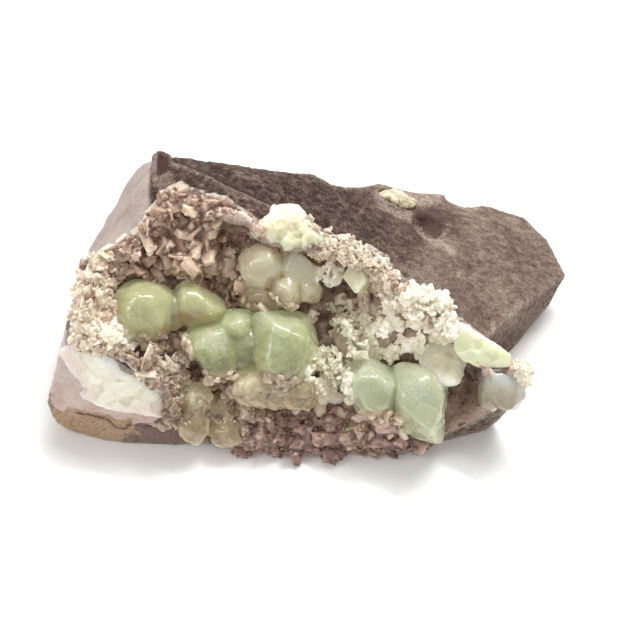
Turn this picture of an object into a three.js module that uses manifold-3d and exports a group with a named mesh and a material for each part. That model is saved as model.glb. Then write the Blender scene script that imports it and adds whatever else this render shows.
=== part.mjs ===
// Prehnite on basalt: a hand-sized specimen, millimetres, +Z up, resting on its flat base.
//
// The specimen is modelled in the frame of its display face, the broken side that shows the open
// pocket. There +X runs along the face, +Y up the face and +Z straight out of it. One group then
// tips that frame onto the base, so every mesh is placed in it by position alone.
import * as THREE from "three";
import { ConvexGeometry } from "three/addons/geometries/ConvexGeometry.js";
import { ImprovedNoise } from "three/addons/math/ImprovedNoise.js";
import { TessellateModifier } from "three/addons/modifiers/TessellateModifier.js";
import { mergeVertices } from "three/addons/utils/BufferGeometryUtils.js";
import Module from "manifold-3d";

const wasm = await Module();
wasm.setup();

// ---------------------------------------------------------------- driving dimensions

const faceSlope = 35; // degrees between the display face and the table
const faceHeight = 18.5; // height of the face frame's origin above the base
const clearance = 0.3; // gap between a crystal and the rock it sits in
const liningDepth = 2.4; // thickness of the druse that lines the pocket
const rockEdge = 12; // longest triangle edge on the rock
const rockRelief = 1.1; // how far the broken rock wanders from its flat facets
const reliefLength = 15; // the size of one swell of that relief
const foot = -2; // level of the foot's corners, below the flat cut that makes the base
const bladeThickness = 0.6; // thickness of a tabular crystal as a share of its width

// The display face's frame in the specimen's own frame.
const faceFrame = new THREE.Matrix4()
  .makeRotationX(THREE.MathUtils.degToRad(faceSlope))
  .setPosition(0, 0, faceHeight);
const toFace = faceFrame.clone().invert();

// ---------------------------------------------------------------- solids and noise

const noise = new ImprovedNoise();

// The geometry with only its positions, and one vertex at each place.
function welded(geometry) {
  const bare = geometry.clone();
  bare.deleteAttribute("normal");
  bare.deleteAttribute("uv");
  return mergeVertices(bare, 1e-4);
}

function solidOf(geometry) {
  const merged = welded(geometry);
  return new wasm.Manifold(
    new wasm.Mesh({
      numProp: 3,
      vertProperties: merged.attributes.position.array,
      triVerts: new Uint32Array(merged.index.array),
    }),
  );
}

function geometryOf(solid) {
  const mesh = solid.getMesh();
  const geometry = new THREE.BufferGeometry();
  geometry.setAttribute("position", new THREE.BufferAttribute(mesh.vertProperties, 3));
  geometry.setIndex(new THREE.BufferAttribute(mesh.triVerts, 1));
  geometry.computeVertexNormals();
  return geometry;
}

// The closed surface moved out by `distance`. Each vertex goes where its own faces meet when every
// one of them is moved out that far, found by least squares.
function grown(geometry, distance) {
  const wide = welded(geometry);
  const position = wide.attributes.position;
  const tiny = 0.02;
  const sums = Array.from({ length: position.count }, () => ({
    squares: new THREE.Matrix3().multiplyScalar(tiny),
    normal: new THREE.Vector3(),
  }));
  for (let i = 0; i < wide.index.count; i += 3) {
    const corners = [0, 1, 2].map((k) => wide.index.getX(i + k));
    const points = corners.map((c) => new THREE.Vector3().fromBufferAttribute(position, c));
    const normal = new THREE.Triangle(...points).getNormal(new THREE.Vector3());
    const n = normal.toArray();
    for (const c of corners) {
      sums[c].normal.add(normal);
      for (let k = 0; k < 9; k++) sums[c].squares.elements[k] += n[k % 3] * n[Math.floor(k / 3)];
    }
  }
  sums.forEach(({ squares, normal }, i) => {
    const step = normal.applyMatrix3(squares.invert()).multiplyScalar(distance);
    position.setXYZ(i, position.getX(i) + step.x, position.getY(i) + step.y, position.getZ(i) + step.z);
  });
  return wide;
}

// A body and the room it needs: the same shape with the clearance all round.
const piece = (geometry) => ({ solid: solidOf(geometry), room: solidOf(grown(geometry, clearance)) });

const join = (pieces) =>
  pieces.reduce((a, b) => ({ solid: a.solid.add(b.solid), room: a.room.add(b.room) }));

// Moves every vertex by a smooth random vector, the same for vertices in the same place.
function roughen(geometry, amount, length, seed) {
  const position = geometry.attributes.position;
  const p = new THREE.Vector3();
  for (let i = 0; i < position.count; i++) {
    p.fromBufferAttribute(position, i);
    const [x, y, z] = [p.x / length + seed, p.y / length, p.z / length];
    p.x += amount * noise.noise(x, y, z);
    p.y += amount * noise.noise(x + 31.4, y + 5.7, z);
    p.z += amount * noise.noise(x, y + 47.1, z + 9.2);
    position.setXYZ(i, p.x, p.y, p.z);
  }
  return geometry;
}

// A block of rock: the hull of its corners, given in the specimen's frame, with broken surfaces.
function rockBlock(corners, seed) {
  const hull = new ConvexGeometry(corners.map((c) => new THREE.Vector3(...c).applyMatrix4(toFace)));
  const fine = new TessellateModifier(rockEdge, 12).modify(hull);
  return piece(roughen(fine, rockRelief, reliefLength, seed));
}

// A rounded body with soft facets. Its radius follows a smooth minimum over a few random planes.
function nodule({ at, size, seed, planes = 11, sharpness = 9, detail = 2, turn = 0 }) {
  const ball = new THREE.IcosahedronGeometry(1, detail);
  const normals = [];
  for (let i = 0; i < planes; i++) {
    const height = 1 - (2 * i + 1) / planes;
    const angle = i * 2.39996 + seed;
    const ring = Math.sqrt(1 - height * height);
    const reach = 0.9 + 0.09 * Math.sin(seed * 7.3 + i * 5.1);
    normals.push(new THREE.Vector3(ring * Math.cos(angle), ring * Math.sin(angle), height).divideScalar(reach));
  }
  const position = ball.attributes.position;
  const p = new THREE.Vector3();
  for (let i = 0; i < position.count; i++) {
    p.fromBufferAttribute(position, i);
    const sum = normals.reduce((total, n) => total + Math.max(0, p.dot(n)) ** sharpness, 0);
    p.divideScalar(Math.max(sum, 0.35) ** (1 / sharpness)).multiply(new THREE.Vector3(...size));
    position.setXYZ(i, p.x, p.y, p.z);
  }
  ball.rotateZ(THREE.MathUtils.degToRad(turn));
  ball.translate(...at);
  return piece(ball);
}

// One tabular crystal: a blade with a pointed end, standing on the point `at` and leaning along `lean`.
function blade({ at, lean, length, width, turn = 0 }) {
  const thickness = bladeThickness * width;
  const outline = new THREE.Shape([
    new THREE.Vector2(-width / 2, -0.3 * length),
    new THREE.Vector2(width / 2, -0.3 * length),
    new THREE.Vector2(width / 2, 0.45 * length),
    new THREE.Vector2(0, 0.7 * length),
    new THREE.Vector2(-width / 2, 0.45 * length),
  ]);
  const geometry = new THREE.ExtrudeGeometry(outline, { depth: thickness, bevelEnabled: false });
  geometry.translate(0, 0, -thickness / 2);
  geometry.rotateY(THREE.MathUtils.degToRad(turn));
  const up = new THREE.Vector3(0, 1, 0);
  const turned = new THREE.Quaternion().setFromUnitVectors(up, new THREE.Vector3(...lean).normalize());
  geometry.applyQuaternion(turned);
  geometry.translate(...at);
  return piece(geometry);
}

// A tuft of blades that grew from one lump, fanning out of the face.
function tuft({ at, size, blades, length, width, seed }) {
  const lump = nodule({ at, size, seed, detail: 1, planes: 8 });
  const parts = [lump];
  for (let i = 0; i < blades; i++) {
    const share = (i + 0.5) / blades;
    const angle = i * 2.39996 + seed;
    const spread = 0.95 * Math.sqrt(share);
    const out = [spread * Math.cos(angle), spread * Math.sin(angle)];
    const root = [at[0] + 0.6 * size[0] * out[0], at[1] + 0.6 * size[1] * out[1], at[2]];
    const grow = 0.8 + 0.4 * Math.abs(Math.sin(seed + i * 3.7));
    parts.push(
      blade({ at: root, lean: [...out, 1], length: length * grow, width, turn: 70 * i + 40 * seed }),
    );
  }
  return join(parts);
}

// ---------------------------------------------------------------- the rock

// Corners of the block that holds the pocket, in the specimen's frame before it is centred.
const pocketBlock = [
  // foot of the front face, left to right
  [-52.2, -19.9, 4], [-50.8, -19.4, 1], [-47.4, -20, foot], [-40.2, -22.7, foot],
  [-22.1, -22.6, foot], [-1, -25.3, foot], [18.2, -26.3, foot], [28.4, -22.6, foot],
  [37, -19.7, foot], [41.2, -17.5, 2],
  // left end, from the foot up to the rim
  [-53.6, -19.1, 9], [-52.3, -16.5, 13], [-50.3, -12.2, 19], [-48.6, -2.6, 22], [-47.5, 4.7, 20],
  // the weathered bevel behind the left rim, and the ground under it
  [-46.1, 17.4, 15], [-43.1, 28.8, 13], [-39.7, 36.4, 13], [-37, 37.5, 18],
  [-45, 18, foot], [-37, 34, foot],
  // summit and rim of the pocket, clockwise
  [-31.6, 21.3, 38.5], [-29.5, 22.4, 39.5],
  [-44.7, -5.5, 28], [-42.9, 1.8, 31], [-35.2, 8.3, 34], [-31.8, 12.4, 37], [-26.7, 18.7, 39],
  [-23.5, 14.2, 39], [-14.3, 12.4, 38], [-8.7, 7.5, 37], [3, 4.2, 36], [13.2, 2.7, 34],
  [18.4, -2.2, 32], [27.4, -6.3, 28], [34.4, -11.7, 25.5], [41.1, -15.4, 23], [44.7, -18, 21.5],
  // right tip, down to the foot
  [44.7, -18.3, 17], [42.7, -18.7, 8], [36, -8, foot],
  // broken lower left corner
  [-49.6, -13.1, 21], [-39.3, -16.3, 24], [-28.6, -23, 13], [-44.9, -21.3, 15],
];

// Corners of the brown slab behind the rim.
const backSlab = [
  [-26.7, 18.7, 38.5], [-14.3, 12.4, 36], [3, 4.2, 33], [18.4, -2.2, 29], [34.4, -11.7, 20],
  [-26.2, 25.5, 36], [-11.6, 26, 32], [-1.1, 26, 29], [12.2, 25.9, 25.4], [18.7, 26.8, 24.6],
  [31.3, 28.1, 20.4], [40.5, 27, 16.2], [49, 27.6, 13.2],
  [53.2, 22.9, 11.1], [56.8, 14.7, 9], [53.4, 8.9, 6], [46, 2.5, 3], [44.2, 0.1, foot],
  [52, 12, foot], [46, 24, foot], [20, 31, foot], [-10, 33, foot], [-36, 33, foot],
  [-34, 36, 12], [0, 33, 12], [36, 30, 8],
  // back left corner, and the foot that runs in under the pocket
  [-36, 36.8, 16], [-30, 27, 34], [28, -12, foot], [-20, -12, foot], [-40, 4, foot],
];

// Corners of the dark chunk that stands up at the summit.
const summitChunk = [
  [-32.2, 20, 36], [-32.4, 22.8, 39.6], [-30.8, 23.6, 40.8], [-28, 22.8, 39.6], [-26.8, 20, 37.6],
  [-30, 17, 36], [-31.6, 26, 33], [-28, 25.4, 33],
];

const rock = join([rockBlock(pocketBlock, 0), rockBlock(backSlab, 0), rockBlock(summitChunk, 0)]);

// Hollows broken out of the rock, in the face frame: the shell-like scar on the slab, the notch
// behind it, the long shallow bay in the top edge and the one under the front edge.
const scars = join([
  nodule({ at: [26.6, 17.4, -5.4], size: [4.4, 4.2, 3.8], seed: 40 }),
  nodule({ at: [36, 24, -14], size: [6, 3.2, 7], seed: 41 }),
  nodule({ at: [9.4, 28.2, -10], size: [9, 3.3, 13], seed: 42 }),
  nodule({ at: [-19, -33.2, -1], size: [15, 4.2, 9], seed: 43 }),
]);

// ---------------------------------------------------------------- the pocket and the veins

// Rim of the pocket in the face frame, clockwise from the lower left, as x and y. Along its lower
// side the pocket is broken open, and its floor runs out over the front edge of the rock.
const pocketRim = [
  [-46.5, -7.5], [-45.6, 0.5], [-43, 8], [-38.3, 12.2], [-34.5, 15.6], [-31.3, 20], [-27.6, 23.5],
  [-23.8, 22.8], [-18.3, 20.3], [-12.3, 18], [-8.8, 15.8], [3, 12.6], [8.2, 11.6], [13.2, 10],
  [16.8, 7.5], [18.2, 3.9], [22, 1.3], [27, -0.9], [31, -4.4], [36.6, -9.2], [41.6, -13],
  [40.8, -17], [38.4, -22], [37, -30], [30, -36], [0, -38], [-24, -36], [-27, -27],
  [-28.8, -21.8], [-31.5, -16.6], [-37, -13], [-40, -9.8], [-43.6, -8.4],
];
const pocketCentre = [-3, -8];
const rimLevel = [9, 0.12]; // level of the rim out of the face, and its rise per millimetre up the face
const pocketFloor = -1.4; // level of the deepest part of the pocket

// The pocket as a bowl whose mouth follows the rim. `inset` makes the smaller bowl inside the lining.
function pocket(inset) {
  const mouth = new THREE.CatmullRomCurve3(
    pocketRim.map(([x, y]) => new THREE.Vector3(x - pocketCentre[0], y - pocketCentre[1], 0)),
    true,
  ).getSpacedPoints(240);
  const bearings = mouth.map((p) => Math.atan2(p.y, p.x));
  const apart = (a, b) => Math.abs(THREE.MathUtils.euclideanModulo(a - b + Math.PI, 2 * Math.PI) - Math.PI);
  const reachAt = (angle) => {
    let best = 0;
    for (let i = 1; i < mouth.length; i++)
      if (apart(bearings[i], angle) < apart(bearings[best], angle) - 1e-7) best = i;
    return Math.hypot(mouth[best].x, mouth[best].y);
  };
  const bowl = new THREE.SphereGeometry(1, 36, 9);
  bowl.rotateX(Math.PI / 2);
  const position = bowl.attributes.position;
  for (let i = 0; i < position.count; i++) {
    const [x, y, z] = [position.getX(i), position.getY(i), position.getZ(i)];
    const angle = Math.atan2(y, x);
    const flat = Math.hypot(x, y);
    const reach = flat < 1e-6 ? 0 : (reachAt(angle) - inset) * flat ** 0.6;
    const v = pocketCentre[1] + reach * Math.sin(angle);
    const rim = rimLevel[0] + rimLevel[1] * v;
    const w = z < 0 ? rim + (rim - pocketFloor - inset) * z : rim + 14 * z;
    position.setXYZ(i, pocketCentre[0] + reach * Math.cos(angle), v, w);
  }
  return solidOf(roughen(bowl, 1.5, 7, 3));
}

// Outline of the pale vein broken open at the lower left of the display face, as x and y.
const veinOutline = [
  [-49.8, -9.6], [-45.8, -7.6], [-43.4, -9.2], [-39.4, -10.8], [-37, -13.8], [-32.8, -15.4],
  [-30.2, -18.2], [-28, -22.2], [-33.4, -22], [-38, -21.4], [-42, -20.4], [-45, -18.6], [-45.2, -15.4],
  [-48, -12.4],
];
const veinMiddle = [-39, -15];
const veinFoot = 4; // level where the vein ends in the rock

function vein(inset) {
  const outline = new THREE.Shape(
    veinOutline.map(([x, y]) => {
      const away = new THREE.Vector2(x - veinMiddle[0], y - veinMiddle[1]);
      return away.setLength(away.length() - inset).add(new THREE.Vector2(...veinMiddle));
    }),
  );
  const geometry = new THREE.ExtrudeGeometry(outline, { depth: 20, bevelEnabled: false });
  return solidOf(geometry.translate(0, 0, veinFoot + inset));
}

// ---------------------------------------------------------------- materials

const finish = (color, roughness) => new THREE.MeshStandardMaterial({ color, roughness, metalness: 0 });
const basalt = finish(0x7d6b63, 0.9);
const druse = finish(0xb39a8c, 0.7);
const greenPrehnite = finish(0xb4c293, 0.25);
const palePrehnite = finish(0xd9d8b4, 0.35);
const milkyQuartz = finish(0xc9bfae, 0.3);

// ---------------------------------------------------------------- the crystals, in the face frame

// Crystals let into the rock itself.
const rimWedge = [
  [30, -2.6, 13.6], [41.6, -10.2, 14.2], [41.2, -12.4, 13.2], [35.9, -12.7, 12.4], [32.3, -11.6, 11.6],
  [30.2, -9, 11.8], [30.2, -5, 13.2], [31.5, -5, 6], [40.6, -11.6, 7.5], [35, -11.5, 8.2], [31.4, -9, 7],
];
const letIn = [
  {
    name: "prehnite_rim_wedge",
    material: greenPrehnite,
    piece: piece(new ConvexGeometry(rimWedge.map((p) => new THREE.Vector3(...p)))),
  },
  {
    name: "quartz_ball_right",
    material: milkyQuartz,
    piece: nodule({ at: [40.3, -17.2, 8.3], size: [4, 4.3, 4.4], seed: 24, detail: 1 }),
  },
  {
    name: "cream_nodule_back",
    material: palePrehnite,
    piece: nodule({ at: [19.6, 22.4, -8.8], size: [4.6, 2, 2.8], seed: 30, turn: -14, detail: 1 }),
  },
];

// Crystals that grew on the lining of the pocket or on its rim.
const grownOn = [
  {
    name: "prehnite_left_pair",
    material: greenPrehnite,
    piece: join([
      nodule({ at: [-33.9, -1.4, 5], size: [7.4, 6.9, 7.6], seed: 1 }),
      nodule({ at: [-22.8, 0, 4], size: [6.8, 5.4, 6.2], seed: 2, detail: 1 }),
    ]),
  },
  {
    name: "prehnite_centre_group",
    material: greenPrehnite,
    piece: join([
      nodule({ at: [-18.8, -9.5, 4.8], size: [7.1, 6.6, 7], seed: 3 }),
      nodule({ at: [-13.6, -4.8, 4], size: [4, 4.2, 5.4], seed: 4, detail: 1 }),
      nodule({ at: [-5, -8.8, 5.6], size: [8.2, 8, 8], seed: 5 }),
    ]),
  },
  {
    name: "prehnite_right_pair",
    material: greenPrehnite,
    piece: join([
      nodule({ at: [13.6, -17.3, 6], size: [6.4, 6.5, 7], seed: 6 }),
      nodule({ at: [23.6, -18.6, 6.6], size: [7.1, 8.2, 7.4], seed: 7 }),
      nodule({ at: [26.3, -24.2, 5.6], size: [3.2, 3.4, 4.4], seed: 8, detail: 1 }),
    ]),
  },
  {
    name: "prehnite_upper_ball",
    material: palePrehnite,
    piece: join([
      nodule({ at: [-8.8, 7.4, 6], size: [5.6, 6.1, 6.4], seed: 9 }),
      nodule({ at: [-0.9, 6.2, 6.3], size: [4.2, 5.8, 5.4], seed: 10, turn: 20, detail: 1 }),
      nodule({ at: [-2, 1.4, 5.4], size: [3.4, 2.8, 4.4], seed: 11, detail: 1 }),
      nodule({ at: [-7.7, 1.4, 3], size: [6.8, 4, 4.4], seed: 12, detail: 1 }),
    ]),
  },
  {
    name: "prehnite_cream_crown",
    material: palePrehnite,
    piece: join([
      nodule({ at: [-4.4, 15.2, 9], size: [5.3, 4.9, 5.2], seed: 13, detail: 1 }),
      nodule({ at: [-8, 15.6, 9.5], size: [3.4, 3.2, 3.6], seed: 14, detail: 1 }),
      nodule({ at: [0.4, 13.3, 9.5], size: [3.4, 3, 3.6], seed: 15, detail: 1 }),
    ]),
  },
  {
    name: "prehnite_small_bud",
    material: greenPrehnite,
    piece: join([
      nodule({ at: [11.6, 6, 7.5], size: [2.7, 2.3, 2.9], seed: 16, detail: 1 }),
      nodule({ at: [12.4, 4.6, 4.2], size: [1.8, 1.8, 3.6], seed: 17, detail: 1 }),
    ]),
  },
  {
    name: "milky_lobes_centre",
    material: milkyQuartz,
    piece: join([
      nodule({ at: [-9.8, -18.4, 4], size: [5, 4.1, 4.6], seed: 18, detail: 1 }),
      nodule({ at: [-2.6, -18.4, 3.4], size: [4.4, 3.7, 4.2], seed: 19, detail: 1 }),
    ]),
  },
  {
    name: "milky_knobs_left",
    material: milkyQuartz,
    piece: join([
      nodule({ at: [-23.1, -20.4, 3.4], size: [4.3, 4.6, 4.4], seed: 20, detail: 1 }),
      nodule({ at: [-22.6, -25.6, 1.4], size: [3.2, 3.4, 3], seed: 21, detail: 1 }),
      nodule({ at: [-16.4, -23.4, 1.4], size: [3.6, 5, 3.2], seed: 23, detail: 1 }),
    ]),
  },
  {
    name: "prehnite_fan",
    material: palePrehnite,
    piece: join([
      nodule({ at: [28.2, -12.6, 7.2], size: [5.2, 2.8, 3.4], seed: 26, turn: -12, detail: 1 }),
      nodule({ at: [26.4, -10.4, 4.6], size: [2.6, 2.4, 4], seed: 27, detail: 1 }),
    ]),
  },
  {
    name: "cream_horn_cluster",
    material: palePrehnite,
    piece: tuft({ at: [-38.8, -6.6, 6], size: [3.4, 3.2, 4], blades: 4, length: 5, width: 2.4, seed: 2 }),
  },
  {
    name: "blocky_crystals_upper_left",
    material: milkyQuartz,
    piece: join([
      tuft({ at: [-23.8, 9.4, 3.6], size: [4.6, 3.6, 3.6], blades: 3, length: 5, width: 3, seed: 3 }),
      tuft({ at: [-22.8, 15.6, 3.4], size: [4, 4.8, 4], blades: 3, length: 4.6, width: 3, seed: 4 }),
      tuft({ at: [-28.6, 12.4, 4], size: [4.2, 3.6, 3.4], blades: 3, length: 4.2, width: 2.2, seed: 5 }),
    ]),
  },
  {
    name: "popcorn_crystals_right",
    material: palePrehnite,
    piece: join([
      tuft({ at: [22.6, -2.2, 5.8], size: [5, 2.6, 4], blades: 3, length: 3.4, width: 2.2, seed: 6 }),
      tuft({ at: [17, -6.4, 5], size: [3.4, 3, 4.4], blades: 3, length: 4, width: 2.4, seed: 7 }),
      tuft({ at: [23.2, -6.2, 5.2], size: [4.6, 3, 4], blades: 3, length: 3.6, width: 2, seed: 8 }),
    ]),
  },
  {
    name: "mint_sprays_centre",
    material: palePrehnite,
    piece: join([
      tuft({ at: [9, -7.6, 4], size: [3.8, 5.6, 3.6], blades: 4, length: 4.4, width: 1.8, seed: 9 }),
      tuft({ at: [6, -13, 4], size: [3.4, 3.2, 3.4], blades: 3, length: 4.2, width: 1.8, seed: 10 }),
    ]),
  },
  {
    name: "white_crystals_upper",
    material: palePrehnite,
    piece: tuft({ at: [5, 6.6, 4.6], size: [2, 2.4, 4], blades: 3, length: 4, width: 2, seed: 11 }),
  },
  {
    name: "pink_knobs_front_left",
    material: druse,
    piece: join([
      nodule({ at: [-7.4, -27.4, 1], size: [4.6, 3, 2.4], seed: 28, detail: 1 }),
      blade({ at: [-6.4, -28.4, 1.2], lean: [0, -1, 0.1], length: 5, width: 1.8, turn: 30 }),
    ]),
  },
  {
    name: "pink_knobs_front_right",
    material: druse,
    piece: join([
      nodule({ at: [11.4, -26.8, 1.6], size: [4.8, 3.6, 2.8], seed: 29, detail: 1 }),
      blade({ at: [11.7, -28.4, 1.2], lean: [0.05, -1, 0.1], length: 5, width: 2.4, turn: 0 }),
    ]),
  },
];

// ---------------------------------------------------------------- cutting and assembly

const base = new THREE.BoxGeometry(200, 200, 60);
base.translate(0, 0, -30).applyMatrix4(toFace);
const underBase = solidOf(base);

const sockets = join(letIn.map((crystal) => crystal.piece)).room;
const body = rock.solid.subtract(underBase).subtract(scars.solid).subtract(sockets);

const pieces = [
  { name: "basalt_matrix", material: basalt, solid: body.subtract(pocket(0)).subtract(vein(0)) },
  {
    name: "pocket_lining",
    material: druse,
    solid: body.intersect(pocket(clearance)).subtract(pocket(liningDepth)),
  },
  {
    name: "vein_broken_open",
    material: palePrehnite,
    solid: body.subtract(pocket(0)).intersect(vein(clearance)),
  },
  ...letIn.map(({ name, material, piece: { solid } }) => ({ name, material, solid })),
];

// What the other crystals stand on, clearance included. Each is cut to fit it, and is cut back from
// the crystals listed before it.
let taken = rock.room.subtract(pocket(liningDepth + clearance)).add(underBase).add(sockets);
for (const { name, material, piece: crystal } of grownOn) {
  pieces.push({ name, material, solid: crystal.solid.subtract(taken) });
  taken = taken.add(crystal.room);
}

const specimen = new THREE.Group();
const displayFace = new THREE.Group();
displayFace.rotation.x = THREE.MathUtils.degToRad(faceSlope);
displayFace.position.z = faceHeight;
specimen.add(displayFace);

for (const { name, material, solid } of pieces) {
  // A cut can leave loose crumbs, so only the largest body is kept.
  const [largest] = solid.decompose().sort((a, b) => b.volume() - a.volume());
  const geometry = geometryOf(largest);
  geometry.computeBoundingBox();
  const middle = geometry.boundingBox.getCenter(new THREE.Vector3());
  geometry.translate(-middle.x, -middle.y, -middle.z);
  const mesh = new THREE.Mesh(geometry, material);
  mesh.name = name;
  mesh.position.copy(middle);
  displayFace.add(mesh);
}

// The origin is the middle of the specimen's footprint, on the table.
specimen.updateMatrixWorld(true);
const box = new THREE.Box3().setFromObject(specimen, true);
displayFace.position.x -= (box.min.x + box.max.x) / 2;
displayFace.position.y -= (box.min.y + box.max.y) / 2;
displayFace.position.z -= box.min.z;

export default specimen;
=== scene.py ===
"""Prehnite on matrix: green prehnite balls in a crystal-lined pocket of brown basalt."""

import math

import bmesh
import bpy
import numpy as np
from mathutils import Matrix, Vector, noise
from mathutils.bvhtree import BVHTree


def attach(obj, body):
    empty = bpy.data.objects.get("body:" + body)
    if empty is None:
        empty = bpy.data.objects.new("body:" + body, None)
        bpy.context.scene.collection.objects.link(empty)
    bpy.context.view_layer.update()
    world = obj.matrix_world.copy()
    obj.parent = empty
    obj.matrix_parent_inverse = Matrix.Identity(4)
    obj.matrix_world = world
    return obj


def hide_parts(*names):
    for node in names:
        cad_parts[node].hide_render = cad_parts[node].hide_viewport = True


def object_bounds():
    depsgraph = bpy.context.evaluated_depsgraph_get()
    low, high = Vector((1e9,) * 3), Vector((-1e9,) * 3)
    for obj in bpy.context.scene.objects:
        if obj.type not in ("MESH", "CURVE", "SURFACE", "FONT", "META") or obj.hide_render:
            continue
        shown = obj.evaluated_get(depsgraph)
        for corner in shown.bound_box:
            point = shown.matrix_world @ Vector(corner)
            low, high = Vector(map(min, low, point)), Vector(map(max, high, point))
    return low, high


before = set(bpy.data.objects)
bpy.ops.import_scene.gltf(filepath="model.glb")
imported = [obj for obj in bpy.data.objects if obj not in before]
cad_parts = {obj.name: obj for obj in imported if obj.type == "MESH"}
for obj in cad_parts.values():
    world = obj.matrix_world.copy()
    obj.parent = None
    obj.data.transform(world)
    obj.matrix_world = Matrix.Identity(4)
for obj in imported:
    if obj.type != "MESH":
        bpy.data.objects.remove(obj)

MM = 0.001
LEAN = math.radians(35)                  # how far the display face leans back from level
FACE_MIDDLE = (0.4847, 0.4219, 0.4591)   # its middle, as shares of the specimen's box
PROUD = 0.025                            # how far crystals may stand out of that box, as a share of it
ROCK_SKIN, WALL_SKIN, BALL_SKIN = 0.51, 0.42, 0.22     # the quads of the finished skins, in mm
KEPT = 0.42                              # the share of a fused mass's faces that is kept
FROM_ABOVE = 60                          # a height over everything on the face, in mm
ROOT_SUNK = 0.35                         # how far a tuft's root lies under its crystals' feet, in mm
PRISM_DEPTH = 0.72                       # a prism's depth as a share of its width
BENT = 0.07                              # how unevenly small crystals grow, as a share of their size


# ---------------------------------------------------------------- the display face
# Pieces are modelled in millimetres on the display face: u to the right, v up the face,
# w straight out of it. FACE sets them down in the model.

cad_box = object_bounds()
face_middle = Vector([low + (high - low) * share for low, high, share in zip(*cad_box, FACE_MIDDLE)])
FACE = Matrix.Translation(face_middle) @ Matrix.Rotation(LEAN, 4, "X") @ Matrix.Scale(MM, 4)
TO_FACE = FACE.inverted()


def corners_on_face(node):
    """The lowest and highest corner of a CAD node, in display-face millimetres."""
    points = np.array([TO_FACE @ v.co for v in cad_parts[node].data.vertices])
    return points.min(0), points.max(0)


def middle_of(node):
    low, high = corners_on_face(node)
    return (low + high) / 2


# ---------------------------------------------------------------- shader words


class Amount:
    """A shader socket that adds, subtracts and multiplies as a number does."""

    def __init__(self, finish, socket):
        self.finish, self.socket = finish, socket

    def __add__(self, other):
        return self.finish.maths("ADD", self, other)

    def __sub__(self, other):
        return self.finish.maths("SUBTRACT", self, other)

    def __rsub__(self, other):
        return self.finish.maths("SUBTRACT", other, self)

    def __mul__(self, other):
        return self.finish.maths("MULTIPLY", self, other)

    __radd__ = __add__
    __rmul__ = __mul__


class Finish:
    """One material, built node by node."""

    def __init__(self, name):
        self.material = bpy.data.materials.new(name)
        self.material.use_nodes = True
        self.tree = self.material.node_tree
        self.tree.nodes.clear()

    def node(self, kind, settings=None, inputs=None, output=0):
        """Adds a node: first its settings, then the values or links of its sockets."""
        made = self.tree.nodes.new(kind)
        for name, value in (settings or {}).items():
            if name == "stops":
                self.set_stops(made.color_ramp, value)
            else:
                setattr(made, name, value)
        for name, value in (inputs or {}).items():
            if isinstance(value, Amount):
                self.tree.links.new(value.socket, made.inputs[name])
            else:
                made.inputs[name].default_value = value
        return Amount(self, made.outputs[output])

    @staticmethod
    def set_stops(ramp, stops):
        while len(ramp.elements) < len(stops):
            ramp.elements.new(0.5)
        for element, (position, colour) in zip(ramp.elements, stops):
            element.position = position
            element.color = (*colour, 1)

    def maths(self, operation, *values):
        return self.node("ShaderNodeMath", {"operation": operation}, dict(enumerate(values)))

    def face(self):
        """Display-face millimetres."""
        place = self.node("ShaderNodeTexCoord", output="Object")
        turned = Matrix.Rotation(-LEAN, 3, "X")
        return self.node("ShaderNodeMapping", None, {
            "Vector": place, "Scale": (1 / MM,) * 3, "Rotation": (-LEAN, 0, 0),
            "Location": -(turned @ face_middle) / MM})

    def stretched(self, vector, turn, lengths):
        """The pattern drawn out to these lengths, its first axis turned about the outward one."""
        return self.node("ShaderNodeMapping", {"vector_type": "TEXTURE"}, {
            "Vector": vector, "Rotation": (0, 0, math.radians(turn)), "Scale": lengths})

    def noise(self, vector, scale, detail=4, roughness=0.55, distortion=0):
        return self.node("ShaderNodeTexNoise", None, {
            "Vector": vector, "Scale": scale, "Detail": detail,
            "Roughness": roughness, "Distortion": distortion})

    def cells(self, vector, scale):
        return self.node("ShaderNodeTexVoronoi", None, {"Vector": vector, "Scale": scale})

    def attribute(self, name):
        return self.node("ShaderNodeAttribute", {"attribute_name": name}, output="Fac")

    def between(self, value, low, high):
        """0 below low, 1 above high, smooth from one to the other."""
        return self.node("ShaderNodeMapRange", {"interpolation_type": "SMOOTHSTEP"}, {
            "Value": value, "From Min": low, "From Max": high})

    def ramp(self, value, *stops):
        return self.node("ShaderNodeValToRGB", {"stops": stops}, {"Fac": value})

    def mix(self, share, first, second, blend="MIX"):
        colours = [c if isinstance(c, Amount) else (*c, 1) for c in (first, second)]
        settings = {"data_type": "RGBA", "blend_type": blend}
        return self.node("ShaderNodeMix", settings, {0: share, 6: colours[0], 7: colours[1]}, 2)

    def mixed(self, share, first, second):
        """One value passing into another."""
        return first * (1 - share) + second * share

    def bump(self, height, depth, strength=1, under=None):
        inputs = {"Height": height, "Distance": depth * MM, "Strength": strength}
        if under:
            inputs["Normal"] = under
        return self.node("ShaderNodeBump", None, inputs)

    @staticmethod
    def soft(share, radius, depth):
        """Light that passes under the skin: its share, colours and depth in mm."""
        return {"Subsurface Weight": share, "Subsurface Radius": radius, "Subsurface Scale": depth * MM}

    def surface(self, inputs, absorption=None):
        """The last nodes: the shader, and what takes up light inside if it is glassy."""
        shader = self.node("ShaderNodeBsdfPrincipled", None, inputs)
        outputs = {"Surface": shader}
        if absorption:
            colour, density = absorption
            outputs["Volume"] = self.node("ShaderNodeVolumeAbsorption", None, {
                "Color": (*colour, 1), "Density": density})
        end = self.tree.nodes.new("ShaderNodeOutputMaterial")
        for name, value in outputs.items():
            self.tree.links.new(value.socket, end.inputs[name])
        return self.material


# ---------------------------------------------------------------- finishes


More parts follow.
